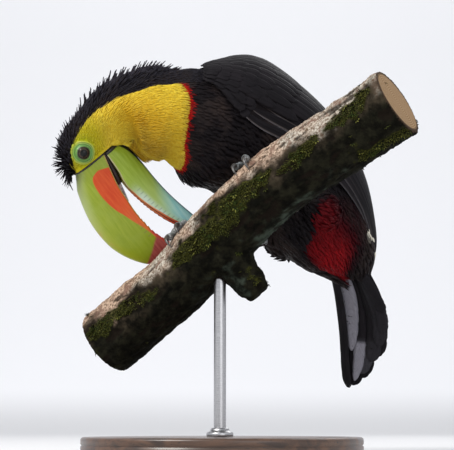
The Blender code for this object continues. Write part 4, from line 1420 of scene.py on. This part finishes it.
def vane(path, normal, half, thick, bend, tilt, shaft):
    """Rings of points for one feather along a path, in millimetres."""
    ahead = unit(np.gradient(path, axis=0))
    side = unit(np.cross(ahead, normal))
    above = unit(np.cross(side, ahead))
    x = VANE_ACROSS * half[:, None]
    high = -(x**2) / (2 * bend) + tilt * x
    ridge = shaft * bell(VANE_ACROSS, 0, 0.09) * np.linspace(1, 0.25, len(path))[:, None]
    high = high + np.where(VANE_UNDER, -thick, ridge)
    high = high - np.where(VANE_EDGE, thick * 0.45, 0)
    return path[:, None] + side[:, None] * x[..., None] + above[:, None] * high[..., None]


def vane_width(share, widest, seed, point, ragged, root=0.35):
    """Half widths along a feather: narrow root, parallel sides, rounded end, small splits."""
    grow = root + (1 - root) * smoothstep(0, 0.28, share)
    end = np.sqrt(np.clip(1 - ((np.clip(share, point, 1) - point) / (1 - point)) ** 2, 0.015, 1))
    splits = 1 - ragged * np.maximum(0, np.sin(share * 41 + seed * 2.4) - 0.55) * smoothstep(0.3, 0.7, share)
    return widest * grow * end * splits


def build_vanes(name, vanes, cells, node_names, material):
    """One piece of many vanes, each given as rings, paleness and shade, with a map cell for each."""
    blocks = []
    for index, (rings, pale, shade) in enumerate(vanes):
        rows, columns = rings.shape[:2]
        along = np.repeat(np.linspace(0, 1, rows), columns)
        across, under = np.tile(VANE_ACROSS, rows), np.tile(VANE_UNDER | VANE_EDGE, rows)
        pale = np.repeat(np.broadcast_to(pale, rows), columns)
        same = np.ones(rows * columns)
        block = np.stack([along, across, under, pale, shade * same, index * same], 1)
        ends = block[[0, -1]].copy()
        ends[:, 1] = 0
        blocks += [block, ends]
    made = join_parts(name, [tube(rings) for rings, _, _ in vanes])
    numbers = np.concatenate(blocks)
    for index, title in enumerate(("along", "across", "under", "pale", "shade")):
        store(made, title, numbers[:, index])
    along, across, *_, cell = numbers[fetch(made.data.loops, "vertex_index", 1, np.int32)].T
    spot = np.stack([cell % cells + 0.05 + 0.9 * along, cell // cells + 0.5 + 0.42 * across], 1)
    layer = made.data.uv_layers.new(name="OFBake")
    layer.uv.foreach_set("vector", (spot / cells).astype(np.float32).ravel())
    finish_piece(made, node_names, material)


print("a vane has", len(VANE_ACROSS), "points across")


# %% Flight feather material
def flight_material(name, tone, edge):
    n = Finish(name, Specular_IOR_Level=0.09)
    along, across, under, shade = (n.attribute(key) for key in ("along", "across", "under", "shade"))
    away, pale = abs(across), n.attribute("pale")
    barbs = n.noise(n.vector(along * 60.0 + away * -9.0, across * 1.5, shade * 40.0), 1.6, 3.0, 0.6)
    cloud = n.noise(n.place(), 45.0, 3.0)
    dark = tuple(c * 0.55 for c in tone)
    light = tuple(c * k for c, k in zip(tone, (1.5, 1.4, 1.4)))
    colour = n.mix(n.between(barbs, 0.3, 0.7), dark, tone)
    colour = n.mix(n.between(cloud, 0.4, 0.7) * 0.5, colour, light)
    colour = n.mix(shade * 0.4, colour, dark)
    colour = n.mix(n.between(away, 0.80, 0.98) * n.between(along, 0.15, 0.5, 0.2, 0.75), colour, edge)
    colour = n.mix(n.between(away, 0.07, 0.03), colour, tuple(c * 0.5 for c in tone))
    # painted sheen: where a feather is marked pale, its underside is painted silver, broken by darker splits;
    # on the wing the same number marks wear on the upper face
    gaps = n.between(n.noise(n.vector(along * 26.0, across, shade * 9.0), 1.0, 2.0), 0.64, 0.69)
    painted_silver_sheen = n.mix(n.between(barbs, 0.3, 0.7), (0.20, 0.195, 0.23), (0.31, 0.30, 0.34))
    colour = n.mix(pale * under * (1.0 - gaps * 0.8), colour, painted_silver_sheen)
    worn = pale * (1.0 - under) * n.between(across, 0.55, 0.9)
    colour = n.mix(worn, colour, (0.125, 0.105, 0.095))
    roughness = n.between(barbs, 0.3, 0.7, 0.55, 0.7)
    return n.set(Base_Color=colour, Roughness=roughness, Normal=n.bump(barbs, 0.3, 0.0004))


wing_finish = flight_material("wing feathers", (0.0115, 0.0098, 0.0120), (0.019, 0.0165, 0.018))
tail_finish = flight_material("tail feathers", (0.0110, 0.0096, 0.0120), (0.020, 0.018, 0.021))

# %% [markdown]
# On the wing a feather's line runs from its root to its tip in the wing's own numbers: how far it is
# from the wrist towards the tip, and how far from the upper edge towards the lower one.

# %% Fold the wings
WING_ROWS = (  # of coverts: count, root step, tip step, half width, root lift, tip lift
    (14, 0.19, 0.47, 4.9, -2.4, -0.25),
    (14, 0.13, 0.35, 4.6, -2.2, -0.05),
    (14, 0.10, 0.275, 4.4, -2.0, 0.0),
    (13, 0.065, 0.215, 4.2, -1.9, 0.05),
    (12, 0.035, 0.16, 4.0, -1.8, 0.1),
    (11, 0.01, 0.11, 3.7, -1.6, 0.1),
    (9, -0.01, 0.065, 3.4, -1.3, 0.1),
)
FLIGHT_TIPS = (0, 0.2, 0.45, 0.68, 0.85, 1), (0.80, 0.87, 0.94, 0.995, 0.96, 0.90)


def wing_line(sign, roots, tips, low, high, rows):
    """Points and normals of a line on the folded wing."""
    part = np.linspace(0, 1, rows)
    step = roots[0] + (tips[0] - roots[0]) * part
    share = roots[1] + (tips[1] - roots[1]) * part
    lift = WING_LIFT - 1.6 + wing_height(step, np.clip(share, 0.02, 0.98))
    lift = lift + low + (high - low) * smoothstep(0, 0.7, part)
    return part, *body_frame(*wing_place(step, share, sign), lift)[:2]


def fold_wing(side, sign):
    random = np.random.default_rng(11 if side == "left" else 12)
    vanes = []
    for i, share in enumerate(np.linspace(0.97, 0.05, 15)):
        root = (0.24 - 0.1 * float(smoothstep(0.7, 0.9, share)), share)
        tip = (np.interp(share, *FLIGHT_TIPS), 0.5 + (share - 0.5) * 0.94)
        along, path, normal = wing_line(sign, root, tip, -2.6, -0.7, 30)
        half = vane_width(along, 5.6 if share < 0.5 else 4.9, i, 0.9, 0.10)
        worn = smoothstep(0.74, 0.86, share) * smoothstep(0.0, 0.08, along)
        worn = worn * (0.3 + 0.6 * smoothstep(0.5, 0.3, along))
        vanes.append((vane(path, normal, half, 0.45, 45, -0.10 * sign, 0.5), worn, random.uniform()))
    for row, (count, root, tip, wide, low, high) in enumerate(WING_ROWS):
        for i, share in enumerate(np.linspace(0.96, 0.05, count)):
            share = share + random.uniform(-0.012, 0.012)
            end = tip + random.uniform(-0.006, 0.006) + 0.02 * math.cos(3 * share)
            end = end - 0.85 * max(0, tip - 0.2) * float(smoothstep(0.74, 0.92, share))
            along, path, normal = wing_line(sign, (root, share), (end, share + 0.01), low, high, 13)
            half = vane_width(along, wide, i + row, 0.72, 0.05)
            vanes.append((vane(path, normal, half, 0.4, 40, -0.08 * sign, 0.25), 0.0, random.uniform()))
    print("the", side, "wing has", len(vanes), "feathers")
    build_vanes("wing_feathers_" + side, vanes, 11, [], wing_finish)


for side, sign in SIDES.items():
    fold_wing(side, sign)

# %% [markdown]
# The tail hangs with its underside to the viewer. Its feathers are graduated: the outer ones are the
# shortest and lie undermost, so seen from below their tips step up towards the middle. The undersides
# of two of them are painted with a silvery sheen, a painted reflection.

# %% Hang the tail
TAIL_ARCH = 0.14
# The last column, pale, is how strongly the feather's underside is painted with a silvery sheen.
TAIL_FEATHERS = (  # place across at root and tip, where the tip is, half width, height in the tail, pale
    (-0.10, -0.20, 5.9, 9.0, 0.75, 0.0),
    (0.25, 0.26, 5.2, 9.0, 0.55, 0.0),
    (-0.55, -0.42, 5.8, 7.0, 0.35, 0.0),
    (0.62, 0.70, 3.85, 8.2, 0.30, 0.0),
    (0.28, 0.22, 4.85, 8.0, -0.15, 0.12),
    (0.50, 0.54, 4.1, 7.6, -0.30, 0.06),
    (0.66, 0.74, 3.35, 6.6, -0.48, 0.05),
    (0.74, 0.86, 2.8, 6.0, -0.62, 0.04),
    (0.78, 0.92, 1.9, 5.5, -0.76, 0.02),
    (-0.12, 0.02, 5.35, 6.8, -0.45, 0.85),
    (-0.31, -0.34, 3.5, 7.8, -0.72, 0.80),
    (-0.74, -0.50, 6.0, 4.2, -0.95, 0.0),
)


def tail_vane(index, root, tip, end, wide, height, pale):
    """A tail feather. Places across run from the bird's right (-1) to its left (1)."""
    along = np.linspace(0, 1, 34)
    at, across = end * along, root + (tip - root) * along
    row, _, left, up = read_ring(TAIL_TABLE, at)
    half_tail = row[:, HALF_WIDTH]
    sag = -TAIL_ARCH * half_tail * across**2 + height * np.maximum(row[:, BACK], 2.6)
    path = row[:, :3] + left * (across * half_tail)[:, None] + up * sag[:, None]
    path[0] += 3 * (path[0] - path[1])
    half = vane_width(along, wide, index, 0.35 if pale > 0.5 else 0.82, 0.2, 0.85)
    half = np.minimum(half, half_tail * (1.10 - np.abs(across)) + 1.5)
    rings = vane(path, up, half, 0.5, 60 if height > 0 else -400, 0.0, 0.3)
    return rings, pale * smoothstep(3.05, 3.2, at) if end > 4 else pale, (index * 0.37) % 1


tail_vanes = [tail_vane(i, *feather) for i, feather in enumerate(TAIL_FEATHERS)]
build_vanes("tail_feathers", tail_vanes, 4, ["tail"], tail_finish)

# %% [markdown]
# ## The branch
# The perch is a cut length of living branch: pinkish-tan bark on top, where painted light lies on it,
# darkened below by painted shade and cracked, and cushions of moss on its shaded face. The bark's large waves
# are the frame's own.
# A finer tube with the same waves is melted together with the broken-off stub, and then every point is
# moved along its normal by ridges that run with the branch, cracks across them, and lumps.

# %% The branch's line and surface
PERCH = (
    (-99.5, 51, 92), (-61, 28.5, 123.5), (-40, 16.5, 140), (-8.5, -4.5, 171), (21.5, -23, 198),
    (49, -41, 220.5), (92, -65, 246.5), (136.5, -90.5, 273),
)
PERCH_RADIUS, PERCH_ROUGHNESS = 28.0, 0.045
STUB_FROM, STUB_TO = np.array((-3.0, -8, 170)), np.array((31.0, -15, 130))
STUB_RADII = ((0, 17), (0.2, 22), (0.4, 19), (0.6, 15), (0.8, 13), (1, 9))
BARK_SEED = 1795396234  # without a seed, Blender's vector noise starts from the clock

perch_line = spline(PERCH, np.linspace(0, len(PERCH) - 1, 561))
perch_along = np.concatenate([[0], np.cumsum(np.linalg.norm(np.diff(perch_line, axis=0), axis=1))])
PERCH_LENGTH = perch_along[-1]


def perch_middle(along):
    return np.stack([np.interp(along, perch_along, perch_line[:, i]) for i in range(3)], -1)


def perch_frame(along):
    """The branch's heading, its upper side and its front side."""
    ahead = unit(perch_middle(np.minimum(along + 4, PERCH_LENGTH)) - perch_middle(np.maximum(along - 4, 0)))
    top = unit(np.array((0.0, 0, 1)) - ahead * ahead[..., 2:3])
    return ahead, top, np.cross(ahead, top)


def perch_point(along, angle, height=0.0):
    """A place over the bark: angle 0 is the top of the branch and 90 the bird's front side."""
    along, angle, height = np.broadcast_arrays(*(np.asarray(v, float) for v in (along, angle, height)))
    _, top, front = perch_frame(along)
    turn = np.radians(angle)
    waves = np.sin(3 * turn + along / 31) + 0.7 * np.sin(2 * turn - along / 19 + 1) + np.sin(along / 23)
    radius = PERCH_RADIUS * (1 + PERCH_ROUGHNESS * 0.5 * waves) + height
    outward = top * np.cos(turn)[..., None] + front * np.sin(turn)[..., None]
    return perch_middle(along) + outward * radius[..., None]


print("the branch is", round(float(PERCH_LENGTH)), "mm long")

# %% Melt branch and stub, then raise the bark
perch_rings = perch_point(np.linspace(0, PERCH_LENGTH, 150)[:, None], np.arange(0, 360, 5.0)[None, :])
shares = np.linspace(0, 1, 26)
stub_radii = read_line(STUB_RADII, shares) * (1 + 0.05 * np.sin(np.arange(26) / 3.1))
stub_rings = ring_tube(STUB_FROM + (STUB_TO - STUB_FROM) * shares[:, None], stub_radii, 32)
branch = join_parts("branch", [tube(perch_rings), tube(stub_rings)])
apply_modifier(branch, "REMESH", mode="VOXEL", voxel_size=1.45 * MM)

spots = points_of(branch)
normals = fetch(branch.data.vertices, "normal", 3).astype(float)
bark_along = perch_along[nearest_in(perch_line, spots)]
ahead, top, front = perch_frame(bark_along)
away = spots - perch_middle(bark_along)
bark_angle = np.degrees(np.arctan2((away * front).sum(1), (away * top).sum(1)))
from_end = np.minimum(bark_along, PERCH_LENGTH - bark_along)
sawn = (np.abs((normals * ahead).sum(1)) > 0.8) & (from_end < 3)


def bark_height(point, along, angle):
    """Ridges, cracks and lumps of the bark at one place, in millimetres."""
    round_it = math.radians(angle) * PERCH_RADIUS
    flow = Vector((along * 0.028, round_it * 0.16, 1.7))
    ridges = 1 - abs(noise.noise(flow + 0.5 * noise.noise_vector(Vector((along, round_it, 0)) * 0.035)) * 2)
    plates = noise.noise(Vector((along * 0.11, round_it * 0.16, 5.0)))
    lumps = noise.fractal(Vector(point) * 0.075, 1.0, 2.2, 4)
    fine = noise.fractal(Vector(point) * 0.35, 0.9, 2.1, 3)
    return 0.95 * (ridges - 0.55) + 0.7 * plates + 0.85 * lumps + 0.42 * fine


noise.seed_set(BARK_SEED)
relief = np.array([bark_height(*place) for place in zip(spots, bark_along, bark_angle)])
relief = np.where(sawn, 0.12 * relief, relief)
spots = spots + normals * (relief * (0.3 + 0.7 * smoothstep(0, 4, from_end)))[:, None]
move_points(branch, spots)
for name, value in (("relief", relief), ("sawn", sawn), ("ring", np.linalg.norm(away, axis=1))):
    store(branch, name, value)
print("bark:", len(spots), "points, relief", relief.min().round(1), "to", relief.max().round(1), "mm")

# %% [markdown]
# Moss grows where the bark faces the shade and stays damp, in patches with ragged edges. The same
# numbers drive the bark's colour and, further on, where the moss shoots are planted.

# %% Where moss, lichen, and the bark's painted light and shade lie
MOSS_CUSHIONS = (  # along the branch, angle round it, reach along and round, strength
    (125, 90, 24, 15, 1.0), (30, 86, 24, 16, 1.0), (296, 82, 22, 17, 1.0), (192, 90, 24, 15, 0.75),
    (260, 88, 13, 11, 0.7), (75, 100, 26, 13, 0.5), (232, 102, 26, 16, 0.5), (160, 106, 36, 18, 0.5),
    (306, 164, 24, 12, 0.9), (120, 158, 50, 22, 0.35), (90, 255, 45, 24, 0.6), (215, 262, 40, 24, 0.6),
    (290, 225, 30, 22, 0.5),
)


def speckle(scale, offset):
    """Noise of one size at every point of the branch."""
    return np.array([noise.noise(Vector(p) * scale + Vector(offset)) for p in spots])


patch = np.array([noise.fractal(Vector(p) * 0.032, 1.0, 2.1, 5) for p in spots])
speck = speckle(0.16, (9, 0, 0))
round_angle = bark_angle % 360
cushions = sum(
    strength * np.exp(-(((bark_along - a) / long) ** 2) - (((round_angle - t) / wide) ** 2))
    for a, t, long, wide, strength in MOSS_CUSHIONS
)
moss = smoothstep(0.25, 0.72, cushions + 0.45 * patch + 0.3 * speck) * ~sawn
uneven = round_angle + 30 * patch + 10 * speck
lichen = smoothstep(0.1, 0.5, -patch + 0.4 * speck) * smoothstep(60, 170, bark_along) * ~sawn
# the bark's painted light and shade: its upper side is painted as lit pale bark, its underside as painted
# shade
for name, value in (
    ("moss", moss),
    ("washed", 1 - smoothstep(58, 86, uneven) * smoothstep(322, 300, uneven)),
    ("underside", smoothstep(86, 112, uneven) * smoothstep(300, 272, uneven)),
    ("lichen", lichen * smoothstep(138, 158, uneven) * smoothstep(240, 200, uneven)),
):
    store(branch, name, value)
print("moss covers", round(float((moss > 0.5).mean()) * 100), "% of the bark")


# %% Bark material
def bark_material():
    n = Finish("bark", Specular_IOR_Level=0.04)
    place = n.place()
    coarse, fine = n.noise(place, 95.0, 5.0, 0.65), n.noise(place, 520.0, 4.0, 0.6)
    ring = n.attribute("ring")
    greyer = n.between(n.noise(place, 26.0, 3.0), 0.45, 0.65)
    greyer = n.math("MAXIMUM", greyer, n.between(n.split(place, "X"), 0.02, 0.10))
    pale_bark = n.mix(greyer, (0.50, 0.36, 0.265), (0.48, 0.44, 0.37))
    tan = n.mix(n.between(fine, 0.34, 0.64), (0.115, 0.076, 0.050), pale_bark)
    tan = n.mix(n.between(coarse, 0.50, 0.62, 0.0, 0.85), tan, (0.155, 0.090, 0.066))
    # painted light and shade: pale tan where the top is painted lit, near-black bark down the sides as
    # painted shade
    dull = n.mix(n.between(coarse, 0.35, 0.65), (0.007, 0.006, 0.004), (0.040, 0.031, 0.020))
    colour = n.mix(n.attribute("washed"), dull, tan)
    # painted shade: darker still under the branch
    deep = n.mix(n.between(coarse, 0.4, 0.7), (0.003, 0.003, 0.002), (0.014, 0.014, 0.008))
    colour = n.mix(n.attribute("underside") * 0.93, colour, deep)
    green = n.mix(n.between(fine, 0.3, 0.7), (0.008, 0.009, 0.003), (0.050, 0.050, 0.010))
    colour = n.mix(n.between(n.attribute("moss"), 0.15, 0.7) * 0.9, colour, green)
    crust = n.attribute("lichen") * n.between(coarse, 0.4, 0.6, 0.1, 0.6)
    colour = n.mix(crust, colour, (0.060, 0.080, 0.062))
    # painted shade in the cracks: the bark is painted near-black where its relief lies low
    crack_shade = n.attribute("relief") + (coarse - 0.5) * 1.6
    colour = n.mix(n.between(crack_shade, -0.15, -1.0, 0.0, 0.85), colour, (0.010, 0.007, 0.005))
    rings = n.math("SINE", ring * 3.6 + coarse * 6.0)
    wood = n.mix(n.between(rings, -0.6, 0.9), (0.27, 0.165, 0.085), (0.40, 0.27, 0.15))
    wood = n.mix(n.between(ring, 24.0, 26.5), wood, (0.055, 0.035, 0.022))
    return n.set(
        Base_Color=n.mix(n.attribute("sawn"), colour, wood),
        Roughness=n.between(fine, 0.3, 0.7, 0.78, 0.95),
        Normal=n.bump(coarse + fine * 0.5, 0.9, 0.0012),
    )


unwrap(branch)
finish_piece(branch, ["perch"], bark_material())

# %% [markdown]
# The moss itself is planted by the same tree that planted the feathers: a moss shoot is a short tuft of
# small pointed leaves, and it stands up from the bark instead of lying along it.

# %% Plant the moss
DRAPE = np.array((0.25, -0.3, -1.0))

store(branch, "lie", unit(DRAPE - normals * (normals @ DRAPE)[:, None]), "FLOAT_VECTOR")
size = (1 + 0.5 * speck) * MM
store(branch, "feather length", (1.9 + 1.6 * moss) * size)
store(branch, "feather width", (2.6 + 1.2 * moss) * size)
store(branch, "feather rise", np.full(len(spots), math.radians(48)))
store(branch, "coat moss", moss > 0.42 + 0.55 * speckle(0.33, (0, 5, 0)), "BOOLEAN")


def moss_material():
    n = Finish("moss", Specular_IOR_Level=0.12)
    tip, shade = n.attribute("along"), n.attribute("shade")
    cloud = n.noise(n.place(), 70.0, 3.0)
    colour = n.mix(n.between(tip, 0.1, 0.95), (0.004, 0.005, 0.002), (0.062, 0.064, 0.010))
    fresh = n.mix(tip, (0.006, 0.010, 0.003), (0.040, 0.062, 0.010))
    colour = n.mix(n.between(cloud, 0.45, 0.7), colour, fresh)
    # shoots are darker towards the base; a few are painted bright yellow-green at their tips, a painted
    # highlight
    colour = n.mix(n.between(shade, 0.86, 1.0) * n.between(tip, 0.3, 0.9), colour, (0.24, 0.235, 0.05))
    return n.set(Base_Color=colour, Roughness=n.between(cloud, 0.3, 0.7, 0.7, 0.9))


plant("moss", branch, "moss shoot", 1.75, 21, 1.3, "bark", moss_material())

# %% [markdown]
# ## Feet and claws
# Toucans have two toes forward and two back. Each toe has soft pads below and a row of overlapping
# horny plates above, and the shank is ringed with larger plates. They are tubes whose radius steps a
# little at each plate. The claws are short, curved and dark.

# %% Toes, shanks and claws
FOOT_ALONG = {"left": 192.0, "right": 128.0}
PALM_ANGLE, PALM_RADIUS, TOE_RADIUS, CLAW_RADIUS = -38.0, 5.2, 3.5, 2.1
CLAW_REACH, TOE_SPREAD = 25.0, 13.0
TOES = {  # forward or back, degrees round the branch, how far outwards
    "front_inner": (1, 78.0 * 0.86, 0.1),
    "front_outer": (1, 78.0, 1.0),
    "rear_inner": (-1, 70.0 * 0.8, -0.2),
    "rear_outer": (-1, 70.0, 0.9),
}


def toe_point(side, name, reach, height):
    way, span, drift = TOES[name]
    aside = SIDES[side] * (drift * TOE_SPREAD * np.minimum(reach, 1.0) + way * 1.5)
    return perch_point(FOOT_ALONG[side] + aside, PALM_ANGLE + way * span * reach, height)


def toe(side, name):
    reach = np.linspace(0, 1.02, 72)
    pads = 1 + 0.12 * np.cos(reach * 3 * math.tau) - 0.24 * reach
    plates = 0.055 * ((reach * 17) % 1.0)
    radii = TOE_RADIUS * (pads + plates) * np.sqrt(np.clip((1.03 - reach) / 0.06, 0.2, 1))
    return tube(ring_tube(toe_point(side, name, reach, TOE_RADIUS * pads + 0.4), radii))


def claw(side, name):
    part = np.linspace(0, 1, 16)
    reach = 0.965 + (CLAW_REACH / TOES[name][1] + 0.035) * part
    rise = (TOE_RADIUS * 0.88 + 0.9) * (1 - part) + 0.5 + 2.4 * np.sin(math.pi * part)
    path = toe_point(side, name, reach, np.maximum(rise, 1.1))
    return tube(ring_tube(path, np.maximum((CLAW_RADIUS + 0.2) * (1 - part**1.5), 0.3), 12))


def shank(side):
    ankle, palm = ANKLES[side], perch_point(FOOT_ALONG[side], PALM_ANGLE, PALM_RADIUS + 0.4)
    share = np.linspace(0, 1, 64)
    width = np.interp(share, (0, 0.12, 0.3, 0.7, 0.88, 1), (0.9, 1.3, 1.0, 0.95, 1.15, 1.3))
    radii = 3.4 * (width + 0.07 * ((share * 11) % 1.0))
    return tube(ring_tube(ankle + (palm - ankle) * share[:, None], radii, 18))


def palm(side):
    along = np.array(FOOT_ALONG[side])
    polar, turns = np.radians(np.linspace(4, 176, 16))[:, None, None], full_turn(24)[:, None]
    centre = perch_point(along, PALM_ANGLE, PALM_RADIUS + 0.2)
    outward, first = unit(centre - perch_middle(along)), perch_frame(along)[0]
    equator = first * 7.4 * np.cos(turns) + np.cross(outward, first) * 5.6 * np.sin(turns)
    return tube(centre + np.sin(polar) * equator + outward * (4.6 * np.cos(polar)))


def foot_material():
    n = Finish("foot scales", Coat_Weight=0.12, Coat_Roughness=0.35)
    place = n.place()
    voronoi = {"Vector": place, "Scale": 620.0}
    cells = n.add("ShaderNodeTexVoronoi", voronoi, "Distance", feature="DISTANCE_TO_EDGE")
    cloud = n.noise(place, 120.0, 3.0)
    colour = n.mix(n.between(cloud, 0.3, 0.7), (0.17, 0.185, 0.19), (0.33, 0.34, 0.335))
    colour = n.mix(n.between(cloud, 0.55, 0.75, 0.0, 0.5), colour, (0.22, 0.20, 0.18))
    return n.set(
        Base_Color=n.mix(n.between(cells, 0.09, 0.02), colour, (0.035, 0.045, 0.05)),
        Roughness=n.between(cloud, 0.3, 0.7, 0.38, 0.55),
        Normal=n.bump(n.between(cells, 0.0, 0.12), 0.55, 0.0004),
    )


def claw_material():
    n = Finish("claw horn", Coat_Weight=0.3, Coat_Roughness=0.2)
    grain = n.noise(n.place(), 380.0, 4.0)
    colour = n.mix(n.between(grain, 0.35, 0.7), (0.022, 0.021, 0.022), (0.085, 0.078, 0.070))
    return n.set(Base_Color=colour, Roughness=n.between(grain, 0.3, 0.7, 0.28, 0.42))


foot_finish, claw_finish = foot_material(), claw_material()
for side in SIDES:
    foot = join_parts("scaled_foot_" + side, [*(toe(side, name) for name in TOES), shank(side), palm(side)])
    finish_piece(foot, ["foot_" + side], foot_finish)
    claws = join_parts("claws_" + side, [claw(side, name) for name in TOES])
    finish_piece(claws, [f"claw_{side}_{name}" for name in TOES], claw_finish)

# %% [markdown]
# ## The display stand
# The base is a turned disc of dark oiled wood with a stepped moulding, and the rod is brushed steel
# with a collar where it enters the base. Turned pieces are one outline spun round an axis.

# %% Turn the stand
BASE_EDGE = [(112.5 + 2.5 * math.cos(a), 11.5 + 2.5 * math.sin(a)) for a in np.linspace(0, math.pi / 2, 7)]
BASE_OUTLINE = (  # radius and height
    (30, 0), (113.4, 0), (114.6, 0.6), (115, 1.6), (115, 6.6), (114.2, 7.2), (114.2, 7.8), (115, 8.4),
    *BASE_EDGE, (104, 14), (103.4, 13.5), (102.6, 13.5), (102, 14), (30, 14),
)
COLLAR_OUTLINE = (
    (5.1, 14.4), (10.6, 14.4), (11, 14.9), (11, 17.2), (10.3, 18.0), (8.4, 18.7), (7.6, 20.2),
    (7.0, 21.2), (6.4, 21.4), (5.1, 21.4),
)


def spin(name, outline, centre, segments):
    """Spins an outline round an upright axis."""
    turns = full_turn(segments)
    circle = np.stack([np.cos(turns), np.sin(turns)], 1)
    rings = [np.column_stack([centre + r * circle, np.full(segments, z)]) for r, z in outline]
    return join_parts(name, [tube(rings)])


def wood_material():
    n = Finish("oiled walnut", Coat_Weight=0.35, Coat_Roughness=0.25)
    grain = n.noise(n.stretched((3.0, 26.0, 26.0)), 3.2, 6.0, 0.6, 0.8)
    pores = n.noise(n.stretched((20.0, 260.0, 260.0)), 3.0, 3.0)
    colour = n.mix(n.between(grain, 0.32, 0.68), (0.030, 0.014, 0.008), (0.115, 0.055, 0.028))
    return n.set(
        Base_Color=n.mix(n.between(pores, 0.60, 0.72), colour, (0.012, 0.006, 0.004)),
        Roughness=n.between(grain, 0.3, 0.7, 0.34, 0.48),
        Normal=n.bump(pores, 0.25, 0.0003),
    )


def steel_material():
    n = Finish("brushed steel", Metallic=1.0)
    brush = n.noise(n.stretched((40.0, 40.0, 2600.0)), 4.0, 3.0)
    return n.set(
        Base_Color=n.mix(n.between(brush, 0.3, 0.7), (0.40, 0.40, 0.41), (0.56, 0.56, 0.57)),
        Roughness=n.between(brush, 0.3, 0.7, 0.26, 0.40),
        Normal=n.bump(brush, 0.15, 0.0002),
    )


rod_low, rod_high = (np.array(corner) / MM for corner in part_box("stand_rod"))
rod_middle = (rod_low[:2] + rod_high[:2]) / 2
rod_outline = [(5, z) for z in np.linspace(rod_low[2], rod_high[2], 24)]
steel = steel_material()
finish_piece(spin("turned_base", BASE_OUTLINE, np.zeros(2), 128), ["stand_base"], wood_material())
finish_piece(spin("turned_collar", COLLAR_OUTLINE, rod_middle, 64), ["stand_collar"], steel)
finish_piece(spin("steel_rod", rod_outline, rod_middle, 48), ["stand_rod"], steel)

# %% [markdown]
# The last cell writes the two boxes, of the frame and of the finished model, so that their sizes can be
# compared.

# %% Sizes and the end
visual_box = [list(corner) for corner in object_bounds()]
for label, box in (("frame", cad_box), ("finished", visual_box)):
    print(label, [[round(v * 1000, 1) for v in corner] for corner in box])
